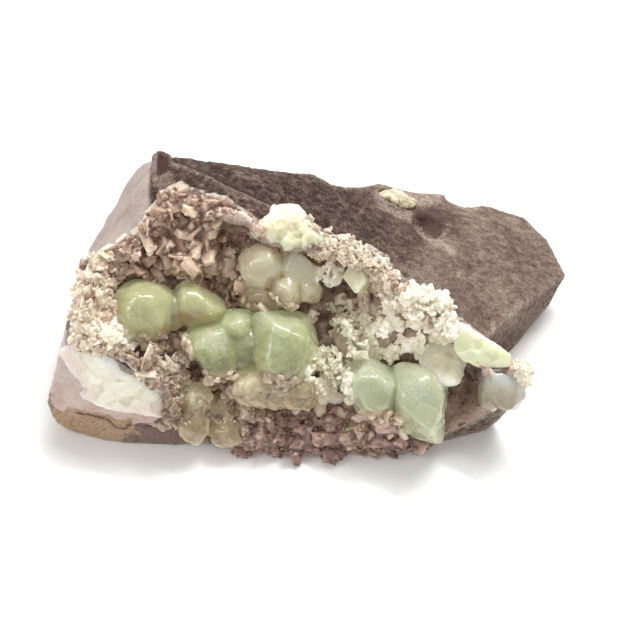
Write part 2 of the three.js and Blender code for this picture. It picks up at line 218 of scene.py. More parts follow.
def basalt_finish():
    """Rough brown basalt: speckled grain, streaks, the zones written on its mesh, and painted shade in its
    hollows.
    """
    f = Finish("basalt_rough")
    at = f.face()
    grain = f.noise(at, 1.7, 9, 0.78)
    patch = f.noise(at, 0.13, 5, 0.62)
    streak = f.noise(f.stretched(at, -40, (1.7, 0.70, 1.0)), 1.1, 8, 0.78)
    level = f.noise(f.stretched(at, -12, (2.2, 1.0, 1.2)), 1.0, 7, 0.72)
    flecks = f.between(f.noise(f.stretched(at, -45, (1.6, 0.8, 1.0)), 1.9, 5, 0.7), 0.57, 0.70)
    smooth, crest, bevel = f.attribute("smooth"), f.attribute("crest"), f.attribute("bevel")
    speck = f.noise(at, 4.5, 5, 0.8)
    tone = f.mixed(smooth, (grain - 0.5) * 0.85 + (streak - 0.5) * 0.75,
                   (grain - 0.5) * 0.60 + (level - 0.5) * 0.66)
    # painted shade: crest darkens the rock in its hollows and lightens it on its crests
    tone = tone + (speck - 0.5) * 0.50 + (patch - 0.5) * 0.35 + (crest - 0.5) * 0.45 \
        - f.attribute("dark") * 0.21 - smooth * 0.04 + 0.012
    colour = f.ramp(tone + 0.5,
                    (0.22, (0.050, 0.028, 0.022)), (0.42, (0.165, 0.110, 0.088)),
                    (0.56, (0.315, 0.238, 0.194)), (0.80, (0.60, 0.51, 0.44)))
    colour = f.mix(flecks * 0.45 * (1 - smooth * 0.5), colour, (0.43, 0.365, 0.315))
    colour = f.mix(f.attribute("purple") * 0.85, colour, f.ramp(
        grain * 0.6 + patch * 0.4, (0.35, (0.29, 0.19, 0.165)), (0.62, (0.46, 0.345, 0.315))))
    colour = f.mix(f.attribute("red") * 0.85, colour, f.ramp(
        grain * 0.5 + streak * 0.5, (0.35, (0.040, 0.014, 0.012)), (0.65, (0.135, 0.062, 0.052))))
    colour = f.mix(bevel * 0.94, colour, f.ramp(
        patch * 0.5 + grain * 0.5, (0.34, (0.30, 0.24, 0.21)), (0.50, (0.42, 0.345, 0.315)),
        (0.68, (0.50, 0.42, 0.385))))
    lifted = f.attribute("pale") * f.between(grain, 0.35, 0.60)
    colour = f.mix(lifted * 0.85, colour, (0.56, 0.47, 0.39))
    bloomed = f.ramp(patch * 0.7 + grain * 0.35, (0.36, (0.80, 0.535, 0.475)),
                     (0.53, (0.94, 0.74, 0.67)), (0.68, (0.95, 0.85, 0.785)))
    colour = f.mix(f.between(f.attribute("bloom") + (grain - 0.5) * 0.8, 0.35, 0.65), colour, bloomed)
    lined = f.ramp(grain * 0.8 + patch * 0.3, (0.32, (0.22, 0.125, 0.095)), (0.52, (0.44, 0.30, 0.24)),
                   (0.72, (0.72, 0.58, 0.49)))
    colour = f.mix(f.between(f.attribute("lined") + (grain - 0.5) * 0.4, 0.3, 0.6), colour, lined)
    stained = f.ramp(grain * 0.7 + speck * 0.3, (0.34, (0.17, 0.08, 0.038)),
                     (0.48, (0.60, 0.385, 0.245)), (0.60, (0.86, 0.65, 0.47)))
    stained = f.mix(f.between(patch, 0.45, 0.62) * 0.40, stained, (0.76, 0.57, 0.43))
    stained = f.mix(f.attribute("crack") * 0.8, stained, (0.13, 0.07, 0.045))
    colour = f.mix(f.between(f.attribute("stain") + (grain - 0.5) * 0.9, 0.35, 0.75), colour, stained)
    crust = f.between(f.attribute("crust") + (grain - 0.5) * 0.9, 0.35, 0.68)
    colour = f.mix(crust * 0.9, colour, (0.86, 0.78, 0.67))
    height = f.mixed(smooth, grain * 0.8 + streak * 0.6 + flecks * 0.2, grain * 0.6 + level * 0.4)
    bump = f.bump(height, 0.85, 1.0 - bevel * 0.7)
    fine = f.bump(f.noise(at, 6.0, 4, 0.75), 0.12, 0.6 - bevel * 0.3, bump)
    return f.surface({
        "Base Color": colour, "Roughness": 0.92 - f.attribute("red") * 0.25 - bevel * 0.15,
        "Normal": fine, "Specular IOR Level": 0.3})


def druse_bed_finish():
    """The pocket wall under the small crystals: brown pink, with painted shade darkening its hollows."""
    f = Finish("druse_bed")
    at = f.face()
    grain = f.noise(at, 1.5, 7, 0.7)
    patch = f.noise(at, 0.25, 5, 0.6)
    # painted shade: crest darkens the wall where it sinks
    colour = f.ramp(grain * 0.5 + patch * 0.5 + (f.attribute("crest") - 0.5) * 0.5,
                    (0.28, (0.095, 0.052, 0.038)), (0.45, (0.235, 0.155, 0.120)),
                    (0.60, (0.37, 0.265, 0.215)), (0.80, (0.60, 0.48, 0.40)))
    colour = f.mix(f.attribute("blush") * 0.6, colour, f.ramp(
        grain, (0.35, (0.19, 0.095, 0.080)), (0.62, (0.46, 0.30, 0.26))))
    edge = f.between(f.attribute("edge") + (grain - 0.5) * 0.7, 0.35, 0.75)
    colour = f.mix(edge * 0.85, colour, (0.80, 0.72, 0.61))
    bump = f.bump(grain, 0.55, 0.8)
    return f.surface({
        "Base Color": colour, "Roughness": 0.35 + grain * 0.3, "Normal": bump,
        **f.soft(0.25, (1, 0.65, 0.5), 1.0)})


def crystal_finish(name, deep, body, pale, glow=2.2, rough=0.20, painted_glow=0.10):
    """Small translucent crystals: painted shade in the gaps and at their feet, painted light on the crests,
    each its own tone, with a faint painted glow.
    """
    f = Finish(name)
    at = f.face()
    cloud = f.noise(at, 0.9, 5, 0.65)
    speck = f.noise(at, 3.2, 5, 0.75)
    # painted shade: tip and crest darken the crystals' feet and the gaps between them
    level = f.attribute("tone") * 0.66 + f.attribute("tip") * 0.16 + (f.attribute("crest") - 0.5) * 0.28 \
        + (cloud - 0.5) * 0.42 + (speck - 0.5) * 0.25
    colour = f.ramp(level, (0.10, deep), (0.44, body), (0.84, pale))
    colour = f.mix(f.attribute("blush") * 0.35, colour, f.mix(1, colour, (0.50, 0.37, 0.36), "OVERLAY"))
    colour = f.mix(f.attribute("mint") * 0.5, colour, (0.54, 0.58, 0.43))
    sugar = f.cells(at, 1.7)
    bump = f.bump(cloud * 0.5 + speck * 0.4 - sugar * 0.6, 0.16, 0.6)
    return f.surface({
        "Base Color": colour, "Roughness": rough + cloud * 0.2, "Normal": bump,
        **f.soft(min(1.0, glow), (1, 0.86, 0.74), glow),
        "IOR": 1.55, "Coat Weight": 0.25, "Coat Roughness": 0.08,
        # painted glow: the crystals give off a little light of their own colour
        "Emission Color": colour, "Emission Strength": painted_glow})


def prehnite_finish(name, deep, body, mint, rim, grain=20, clear=0.2, glow=9.0, veined=0.4):
    """Glassy prehnite: pale above, olive below, with painted glow making it lighter and yellower towards its
    edges, frosted and stained in places.
    """
    f = Finish(name)
    at = f.face()
    cloud = f.noise(at, 0.24, 5, 0.55, 0.6)
    lines = f.noise(f.stretched(at, grain, (3.2, 0.45, 1.2)), 0.8, 5, 0.6)
    shell = f.noise(at, 0.9, 3, 0.5, 0.8)
    crack = f.noise(at, 0.30, 4, 0.6, 1.4)
    veins = f.between(crack, 0.480, 0.50) * f.between(crack, 0.520, 0.50)
    mintness = f.attribute("mint") + (cloud - 0.5) * 1.0 + (lines - 0.5) * 0.45 + f.attribute("facet") * 0.12
    colour = f.ramp(mintness, (0.02, deep), (0.48, body), (0.98, mint))
    # painted glow: edges that turn sideways from the face are painted lighter, and yellower low down, as if
    # lit through
    thin = f.attribute("thin")
    colour = f.mix(thin * 0.45, colour, mint)
    colour = f.mix(thin * (1 - f.between(f.attribute("mint"), 0.1, 0.8)) * 0.70, colour, rim)
    colour = f.mix(veins * veined, colour, (0.70, 0.74, 0.56))
    colour = f.mix(f.attribute("amber") * 0.75, colour, (0.385, 0.285, 0.145))
    sugar = f.noise(at, 1.3, 8, 0.78, 0.8)
    frost = f.between(f.attribute("frost") * 0.75 + (sugar - 0.5) * 2.8, 0.50, 1.20)
    colour = f.mix(frost * 0.60, colour, (0.66, 0.68, 0.58))
    bump = f.bump(lines * 0.15 + shell * 1.0 + frost * sugar * 1.5, 0.26, 0.6)
    return f.surface({
        "Base Color": colour, "Roughness": 0.05 + frost * 0.35 + cloud * 0.08,
        "Normal": bump, "IOR": 1.63, "Transmission Weight": clear,
        **f.soft(1, (1, 1, 0.75), glow), "Coat Weight": 1.0, "Coat Roughness": 0.02,
        # painted glow: emission over the whole ball, strongest at its edges
        "Emission Color": f.mix(0.10 + thin * 0.80, (0, 0, 0), colour), "Emission Strength": 0.36},
        ((0.66, 0.74, 0.40), 90))


def cream_finish(name, deep, body, pale, rough=0.32, glow=1.4, tint=(0.60, 0.66, 0.46),
                 flush=(0.62, 0.45, 0.39)):
    """Milky to cream masses with a granular skin, painted shade in their hollows and a faint painted glow."""
    f = Finish(name)
    at = f.face()
    cloud = f.noise(at, 0.35, 5, 0.6)
    grain = f.noise(at, 2.0, 6, 0.72)
    # painted shade: crest darkens the hollows
    level = cloud * 0.8 + grain * 0.25 + (f.attribute("crest") - 0.5) * 0.35
    colour = f.ramp(level, (0.30, deep), (0.52, body), (0.74, pale))
    colour = f.mix(f.attribute("mint") * 0.7, colour, tint)
    colour = f.mix(f.between(f.attribute("frost") + (grain - 0.5) * 1.2, 0.45, 0.8) * 0.8, colour, pale)
    colour = f.mix(f.attribute("blush") * 0.85, colour, flush)
    bump = f.bump(grain * 0.8 + cloud * 0.4, 0.26, 0.6)
    return f.surface({
        "Base Color": colour, "Roughness": rough + grain * 0.2, "Normal": bump,
        **f.soft(0.8, (1, 0.88, 0.62), glow),
        # painted glow: a faint emission of the mass's own colour
        "IOR": 1.55, "Emission Color": colour, "Emission Strength": 0.05})


def quartz_finish():
    """Clear to smoky quartz, blue grey above and beige below."""
    f = Finish("quartz_clear")
    at = f.face()
    cloud = f.noise(at, 0.55, 5, 0.6)
    colour = f.ramp(f.attribute("mint") * 0.6 + cloud * 0.6,
                    (0.25, (0.38, 0.31, 0.22)), (0.60, (0.52, 0.49, 0.39)), (0.90, (0.60, 0.62, 0.60)))
    bump = f.bump(f.noise(at, 1.0, 5, 0.6), 0.25, 0.6)
    return f.surface({
        "Base Color": colour, "Roughness": 0.12 + cloud * 0.15, "Normal": bump, "IOR": 1.54,
        "Transmission Weight": 0.25, **f.soft(0.7, (1, 0.95, 0.8), 3.0),
        "Coat Weight": 1.0, "Coat Roughness": 0.03,
        # painted glow: a faint emission of the quartz's own colour
        "Emission Color": colour, "Emission Strength": 0.10},
        ((0.84, 0.82, 0.72), 60))


# ---------------------------------------------------------------- mesh words


def numbers(data, word, wide=1, kind=float):
    """One number, or several, of every vertex, edge or triangle."""
    values = np.empty(len(data) * wide, kind)
    data.foreach_get(word, values)
    return values.reshape(-1, wide) if wide > 1 else values


def points_of(mesh):
    return numbers(mesh.vertices, "co", 3)


def outwards_of(mesh):
    return numbers(mesh.vertices, "normal", 3)


def move_points(mesh, points):
    mesh.vertices.foreach_set("co", np.ascontiguousarray(points, dtype=np.float32).ravel())
    mesh.update()


def write(mesh, **words):
    """Writes numbers on the vertices, for a finish to read."""
    for name, values in words.items():
        kept = mesh.attributes.get(name) or mesh.attributes.new(name, "FLOAT", "POINT")
        kept.data.foreach_set("value", np.broadcast_to(values, len(mesh.vertices)).astype(np.float32))


def read(mesh, word):
    return numbers(mesh.attributes[word].data, "value")


def smoothstep(low, high, values):
    share = np.clip((values - low) / (high - low), 0, 1)
    return share * share * (3 - 2 * share)


def unit(vectors):
    return vectors / np.linalg.norm(vectors, axis=-1, keepdims=True)


def ripple(points, size, seed=0, octaves=4, rough=1.0):
    """Fractal noise, about -1 to 1, with lumps of the given size in mm."""
    shifted = points / size + (seed * 17.3, seed * 5.1, -seed * 9.7)
    return np.array([noise.fractal(p, rough, 2.0, octaves) for p in shifted.tolist()])


def ridges(points, size, seed=0, octaves=4):
    """Sharp-crested fractal noise, about 0 to 1."""
    shifted = points / size + (seed * 3.9, -seed * 11.2, seed * 7.7)
    return np.array([noise.ridged_multi_fractal(p, 1.0, 2.0, octaves, 1.0, 2.0)
                     for p in shifted.tolist()]) / 2


def flat_faces(points, size, seed=0):
    """Relief of small flat faces, each tilted its own way, about -1 to 1."""
    shifted = points / size + (seed * 7.9, -seed * 3.7, seed * 6.1)
    relief = []
    for place in shifted.tolist():
        nearest = noise.voronoi(place)[1][0]
        tilt = noise.cell_vector(nearest * 31.7) - Vector((0.5, 0.5, 0.5))
        relief.append(2.0 * tilt.dot(Vector(place) - nearest) + tilt.x)
    return np.array(relief)


def blotch(points, centre, radii, seed=0, ragged=0.35):
    """1 inside an oval on the display face, 0 outside, with a ragged edge."""
    away = np.linalg.norm((points - centre) / radii, axis=1)
    return 1 - smoothstep(0.75, 1.15, away + ragged * ripple(points, 3.0, seed))


def off_line(points, start, end):
    """How far each point is from a straight line on the display face, in mm."""
    run = end - start
    share = np.clip((points[:, :2] - start) @ run / (run @ run), 0, 1)
    return np.linalg.norm(points[:, :2] - start - share[:, None] * run, axis=1)


def along(points, path, width, seed=0, ragged=0.4):
    """1 on a path over the display face, 0 further than its width, with a ragged edge."""
    path = np.array(path, float)
    nearest = np.minimum.reduce([off_line(points, start, end) for start, end in zip(path, path[1:])])
    return 1 - smoothstep(0.5, 1.2, nearest / width + ragged * ripple(points, 1.5, seed))


def within(points, outline):
    """How far inside an outline on the display face each point is, in mm; negative outside."""
    outline = np.array(outline, float)
    inside = np.zeros(len(points), bool)
    nearest = np.full(len(points), 1e9)
    for start, end in zip(outline, np.roll(outline, -1, 0)):
        run = end - start
        nearest = np.minimum(nearest, off_line(points, start, end))
        crosses = (start[1] > points[:, 1]) != (end[1] > points[:, 1])
        inside ^= crosses & (points[:, 0] < start[0] + (points[:, 1] - start[1]) * run[0] / (run[1] or 1e-9))
    return np.where(inside, nearest, -nearest)


def standing_out(mesh, rounds=24):
    """How far each point stands out of its softened surroundings, in mm."""
    points = points_of(mesh)
    first, second = numbers(mesh.edges, "vertices", 2, np.int32).T
    neighbours = np.bincount(first, minlength=len(points)) + np.bincount(second, minlength=len(points))
    soft = points.copy()
    for _ in range(rounds):
        soft = np.stack([np.bincount(first, soft[second, axis], len(points))
                         + np.bincount(second, soft[first, axis], len(points)) for axis in range(3)], 1)
        soft /= neighbours[:, None]
    return ((points - soft) * outwards_of(mesh)).sum(1)


def new_object(name, data):
    made = bpy.data.objects.new(name, data)
    bpy.context.scene.collection.objects.link(made)
    return made


def mesh_of(bm, name):
    mesh = bpy.data.meshes.new(name)
    bm.to_mesh(mesh)
    bm.free()
    return mesh


def baked(thing):
    """Turns a piece's modifiers into its mesh."""
    bpy.context.view_layer.update()
    seen = thing.evaluated_get(bpy.context.evaluated_depsgraph_get())
    mesh = bpy.data.meshes.new_from_object(seen)
    thing.modifiers.clear()
    thing.data = mesh
    return thing


def cad_copy(name, node):
    """A merged copy of a CAD node, in display-face millimetres."""
    bm = bmesh.new()
    bm.from_mesh(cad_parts[node].data)
    bmesh.ops.remove_doubles(bm, verts=bm.verts, dist=0.01 * MM)
    bmesh.ops.transform(bm, matrix=TO_FACE, verts=bm.verts)
    return new_object(name, mesh_of(bm, name))


def remeshed(thing, size, smooth=0, kept=1.0):
    """Rebuilds a piece's skin as even quads of the given size in mm, then keeps a share of its faces."""
    skin = thing.modifiers.new("even skin", "REMESH")
    skin.mode, skin.voxel_size, skin.adaptivity = "VOXEL", size, 0
    if smooth:
        soft = thing.modifiers.new("soften", "SMOOTH")
        soft.factor, soft.iterations = 0.5, smooth
    if kept < 1:
        fewer = thing.modifiers.new("fewer faces", "DECIMATE")
        fewer.decimate_type, fewer.ratio = "COLLAPSE", kept
    return baked(thing)


def joined(first, *others):
    """One closed skin round pieces that overlap."""
    for other in others:
        union = first.modifiers.new("join", "BOOLEAN")
        union.operation, union.solver, union.object = "UNION", "MANIFOLD", other
    baked(first)
    for other in others:
        bpy.data.objects.remove(other)
    return first


def gathered(name, *things):
    """Puts separate small pieces into one object."""
    bm = bmesh.new()
    for thing in things:
        bm.from_mesh(thing.data)
        bpy.data.objects.remove(thing)
    return new_object(name, mesh_of(bm, name))


def tree_of(thing):
    mesh = thing.data
    return BVHTree.FromPolygons([v.co[:] for v in mesh.vertices], [p.vertices[:] for p in mesh.polygons])


def distance_to(tree, points, reach=6.0):
    found = [tree.find_nearest(p, reach)[3] for p in points.tolist()]
    return np.array([reach if away is None else away for away in found])


def settle(thing, finish, slot, *nodes, flat=False):
    """Sets a finished piece down in the model, in place of its CAD nodes, within the specimen's box."""
    thing.data.transform(FACE)
    low, high = np.array(cad_box)
    spare = (high - low) * PROUD
    floor = (*(low - spare)[:2], low[2])
    move_points(thing.data, np.clip(points_of(thing.data), floor, high + spare))
    thing.data.materials.clear()
    thing.data.materials.append(finish)
    if flat:
        thing.data.shade_flat()
    else:
        thing.data.shade_smooth()
    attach(thing, "root")
    if nodes:
        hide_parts(*nodes)
    return thing


def standing_free(name, finish, slot, *crystals):
    """One piece of many separate crystals, each keeping its sharp edges."""
    settle(gathered(name, *crystals), finish, slot, flat=True)


# ---------------------------------------------------------------- the rock

# the pocket's broken edge on the display face, from the left rim over the peak to the right tip
POCKET_EDGE = [
    (-47.0, -4), (-46.6, 1), (-44.7, 8.6), (-38.5, 12.9), (-34.2, 15.6), (-32.3, 18.6), (-30.6, 21.2),
    (-27.6, 24.1), (-25.4, 24.9), (-23.6, 23.6), (-20.0, 22.6), (-16.3, 21.7), (-12.6, 19.2), (-9.5, 16.7),
    (-4, 18.5), (0, 18), (3.4, 14.2), (8.1, 13.6), (13.6, 11.6), (17.1, 9.2), (18.9, 4.6), (21.7, 3.0),
    (27.3, 1.0), (31.0, -2.4), (35.0, -6), (41, -11)]
POCKET_OUTLINE = POCKET_EDGE + [(36, -26), (10, -32), (-30, -30), (-36, -12)]

# bare hollows of the pocket: place, half width and half height on the face
HOLLOWS = [(5.1, -6.8, 3.2, 2.5), (3.8, 2.2, 3.6, 2.6), (-14.0, 16.6, 3.6, 2.2),
           (-37.2, -12.4, 2.4, 1.3), (34.0, -15.0, 3.6, 3.0), (-33.4, -9.6, 2.2, 1.3)]


def hollow(at):
    """1 in a bare hollow, 0 outside."""
    return np.maximum.reduce([smoothstep(1.15, 0.75, np.hypot((at[:, 0] - u) / wide, (at[:, 1] - v) / high))
                              for u, v, wide, high in HOLLOWS])


def weather(thing):
    """Breaks the rock's skin into rough grain and writes its zones."""
    mesh = thing.data
    points, out = points_of(mesh), outwards_of(mesh)
    u, v = points[:, 0], points[:, 1]
    height = (points @ np.array(FACE.to_3x3())[2] + face_middle.z) / MM    # above the flat base
    rise = smoothstep(0.2, 2.5, height)
    right = smoothstep(20, 36, u + 0.6 * v - 2 + 3 * ripple(points, 9, 3, 2))
    peak = blotch(points, (-29.8, 28.8, -5), (2.8, 3.4, 14), 12, 0.15)
    flank = blotch(points, (-29.0, 24.8, -2), (4.4, 3.2, 14), 13, 0.3) * smoothstep(-0.2, 0.2, out[:, 2])
    red = np.maximum(0.85 * blotch(points, (26.6, 17.4, -7), (5.6, 4.4, 9), 11, 0.6),
                     peak * smoothstep(-31.0, -30.4, u))
    bevel = smoothstep(-31.4, -32.4, u + 0.05 * (v - 20) + 0.4 * ripple(points, 4, 6, 3))
    bevel = bevel * smoothstep(0, 6, v)
    bevel = np.maximum(bevel, peak * smoothstep(-30.5, -31.0, u) * 0.6)
    nodular = blotch(points, (23.0, 23.0, -9), (9.5, 2.4, 6), 14)
    band = blotch(points, (-28, -26.4, -2), (14, 2.8, 6), 24, 0.2)
    rough = (1 - 0.45 * right) * (1 - 0.85 * bevel) * (1 - 0.6 * nodular) * (1 - 0.8 * band)

    folds = points @ Matrix.Rotation(math.radians(-32), 3, "Z")
    streaky = points @ Matrix.Rotation(math.radians(-38), 3, "Z")
    broad = 0.34 * ripple(folds * (0.45, 1.0, 0.8), 5.0, 1, 3, 1.0) * (1 - 0.5 * right)
    small = (0.16 * (ridges(points * (0.8, 1.1, 0.9), 2.2, 2, 5) - 0.5)
             + 0.15 * ripple(streaky * (0.6, 1.2, 0.8), 1.1, 4, 4, 0.5)
             + 0.10 * flat_faces(points, 1.2, 5)) * rough
    relief = broad + small
    inside = within(points, POCKET_OUTLINE)
    depth = np.where(out[:, 2] > 0, inside, -np.abs(inside)) + 0.25 * ripple(points, 1.2, 8)
    lined = np.maximum(smoothstep(0.0, 0.5, depth) * smoothstep(0, 6, v), 0.43 * flank)
    relief -= 1.6 * smoothstep(0.4, 4.0, depth) * smoothstep(4, 10, v)
    broken_line = smoothstep(-0.35, 0.25, ripple(points, 2.6, 9, 3))
    crust = smoothstep(0.7, 0.15, np.abs(depth)) * smoothstep(0.1, 0.4, out[:, 2]) \
        * smoothstep(-7, -3, v) * broken_line * (1 - hollow(points))
    relief += 0.3 * crust
    move_points(mesh, points + out * (relief * rise)[:, None])
    # crest: how far the skin stands out, painted by the finish as shade in hollows and light on crests
    crest = np.clip(0.5 + standing_out(mesh, 12) / 0.5 * (1 - 0.7 * right)
                    * (1 - 0.8 * red) * (1 - 0.8 * band), 0, 1)

    ridge = along(points, [(16, 21), (23, 17.8), (25.3, 14.6), (31.5, 11)], 0.9, 15)
    spots = np.maximum.reduce([
        blotch(points, (32.2, 6.4, 5), (0.7, 1.1, 6), 16, 0.2),
        blotch(points, (39.3, -4.4, 5), (0.7, 1.5, 8), 17, 0.2),
        blotch(points, (35.1, 9.7, 3), (0.6, 0.6, 6), 18, 0.2)])
    write(mesh, smooth=right, bevel=bevel, red=red, crest=crest, crust=crust, lined=lined,
          dark=smoothstep(4, 18, v) * (1 - right) * (1 - bevel),
          pale=np.maximum.reduce([nodular * 0.8, ridge * 0.8, spots]),
          purple=np.maximum(blotch(points, (-49.3, -2.4, 2), (2.4, 6.5, 9), 19), band * 0.85),
          bloom=np.maximum.reduce([
              blotch(points, (-48.0, -14.6, 4), (6.5, 8.5, 10), 20),
              blotch(points, (-45.6, 1, 5), (3.2, 10, 9), 23),
              blotch(points, (-38, -20.0, 5), (13.5, 5.2, 8), 25),
              blotch(points, (44.0, -13.0, 7), (5.0, 4.5, 8), 21)]),
          crack=along(points, [(-47.0, -22.3), (-43.1, -23.1), (-41.1, -23.9), (-39.4, -25.4), (-37.6, -25.8),
                               (-35.9, -24.5)], 0.35, 26, 0.8),
          stain=blotch(points, (-45, -24.6, -1), (11.5, 4.6, 9), 22, 0.25))
    return thing


wall = remeshed(cad_copy("druse_wall", "pocket_lining"), WALL_SKIN, 1)
wall_tree = tree_of(wall)
rock = weather(remeshed(cad_copy("basalt_rock", "basalt_matrix"), ROCK_SKIN, 1))
rock_tree = tree_of(rock)


# ---------------------------------------------------------------- the pocket and its wall


def rim_share(points):
    """0 down in the pocket, 1 at its rim."""
    return smoothstep(0.25, 0.95, points[:, 2] / (9 + 0.12 * points[:, 0]))


def knobble(thing):
    """Gives the pocket wall its crystalline skin."""
    mesh = thing.data
    points, out = points_of(mesh), outwards_of(mesh)
    edge = smoothstep(1.5, 0.3, distance_to(rock_tree, points)) * smoothstep(0.1, 0.5, out[:, 2])
    faces = 0.26 * flat_faces(points, 1.9, 32) + 0.12 * flat_faces(points, 1.0, 33)
    relief = 0.50 * ripple(points, 3.4, 31, 4, 0.8) + faces + 0.35
    move_points(mesh, points + out * relief[:, None])
    # crest: how far the wall stands out; the finishes paint shade in its hollows from it
    write(mesh, edge=edge, crest=np.clip(0.45 + standing_out(mesh) / 0.8, 0, 1),
          blush=np.maximum(smoothstep(-16, -23, points[:, 1]),
                           0.5 * blotch(points, (-24, 14, 4), (15, 9, 12), 34)))
    return thing


knobble(wall)


# ---------------------------------------------------------------- finishes in use

druse_slot, green_slot, pale_slot, quartz_slot = "druse", "green_prehnite", "pale_prehnite", "milky_quartz"
rosy = crystal_finish("crystals_rosy", (0.105, 0.056, 0.040), (0.27, 0.17, 0.122), (0.76, 0.62, 0.485),
                      painted_glow=0.11)
rosy_free = crystal_finish("crystals_rosy_free", (0.105, 0.056, 0.040), (0.30, 0.19, 0.137),
                           (0.80, 0.66, 0.53), 0.3)
mauve = crystal_finish("crystals_mauve", (0.105, 0.055, 0.046), (0.30, 0.19, 0.158), (0.70, 0.54, 0.475),
                       3.0, 0.12, 0.12)
sandy = crystal_finish("crystals_sandy", (0.11, 0.068, 0.043), (0.30, 0.217, 0.150), (0.76, 0.665, 0.53),
                       painted_glow=0.11)
pale = crystal_finish("crystals_cream", (0.25, 0.185, 0.125), (0.51, 0.43, 0.325), (0.80, 0.745, 0.62),
                      painted_glow=0.15)
pale_free = crystal_finish("crystals_cream_free", (0.26, 0.19, 0.128), (0.55, 0.46, 0.345),
                           (0.84, 0.78, 0.65), 0.8, painted_glow=0.12)
sandy_free = crystal_finish("crystals_sandy_free", (0.12, 0.072, 0.045), (0.31, 0.222, 0.152),
                            (0.78, 0.68, 0.54), 0.4, painted_glow=0.11)
snowy = crystal_finish("crystals_snowy", (0.24, 0.175, 0.11), (0.58, 0.495, 0.37), (0.90, 0.85, 0.73),
                       painted_glow=0.18)
snowy_free = crystal_finish("crystals_snowy_free", (0.30, 0.225, 0.145), (0.64, 0.555, 0.42),
                            (0.92, 0.875, 0.755), 0.8, painted_glow=0.14)
olive = prehnite_finish("prehnite_olive", (0.20, 0.165, 0.075), (0.385, 0.365, 0.165),
                        (0.48, 0.485, 0.27), (0.54, 0.53, 0.25))
green = prehnite_finish("prehnite_green", (0.15, 0.135, 0.06), (0.35, 0.375, 0.163),
                        (0.50, 0.545, 0.335), (0.58, 0.59, 0.30))
mint_green = prehnite_finish("prehnite_mint", (0.30, 0.30, 0.155), (0.42, 0.445, 0.255),
                             (0.48, 0.52, 0.375), (0.60, 0.63, 0.38))
beige_green = prehnite_finish("prehnite_beige", (0.30, 0.21, 0.11), (0.49, 0.405, 0.245),
                              (0.61, 0.55, 0.38), (0.56, 0.47, 0.30))
cream = cream_finish("prehnite_cream", (0.50, 0.43, 0.25), (0.70, 0.64, 0.43), (0.87, 0.84, 0.69),
                     0.24, 4.0)
weathered = cream_finish("prehnite_weathered", (0.30, 0.235, 0.14), (0.47, 0.405, 0.265),
                         (0.68, 0.635, 0.50), 0.5, 1.0)
milky = prehnite_finish("quartz_milky", (0.18, 0.11, 0.05), (0.38, 0.285, 0.145), (0.66, 0.585, 0.385),
                        (0.56, 0.46, 0.30), clear=0.15, glow=6.0, veined=0.0)
broken = cream_finish("prehnite_broken", (0.82, 0.755, 0.60), (0.94, 0.895, 0.755),
                      (0.975, 0.95, 0.855), 0.25, 2.5, (0.66, 0.73, 0.42), (0.82, 0.70, 0.65))
layered = cream_finish("prehnite_plates", (0.58, 0.49, 0.35), (0.78, 0.70, 0.55), (0.92, 0.87, 0.76),
                       0.22, 3.0)
quartz = quartz_finish()
rooted = cream_finish("druse_root", (0.155, 0.10, 0.068), (0.30, 0.215, 0.155), (0.47, 0.37, 0.28),
                      0.3, 1.5, (0.36, 0.33, 0.24), (0.30, 0.19, 0.15))


# ---------------------------------------------------------------- small crystals


def trimmed(bm, cuts):
    """Cuts flat faces off a shape: the direction of each and its distance from the middle."""
    for slope, away in cuts:
        parts = bm.verts[:] + bm.edges[:] + bm.faces[:]
        bmesh.ops.bisect_plane(bm, geom=parts, dist=1e-4, plane_no=slope, clear_outer=True,
                               plane_co=Vector((0, 0, 0.5)) + Vector(slope) * away)
        bmesh.ops.holes_fill(bm, edges=[edge for edge in bm.edges if edge.is_boundary])
    bmesh.ops.remove_doubles(bm, verts=bm.verts, dist=0.03)
    bmesh.ops.recalc_face_normals(bm, faces=bm.faces)


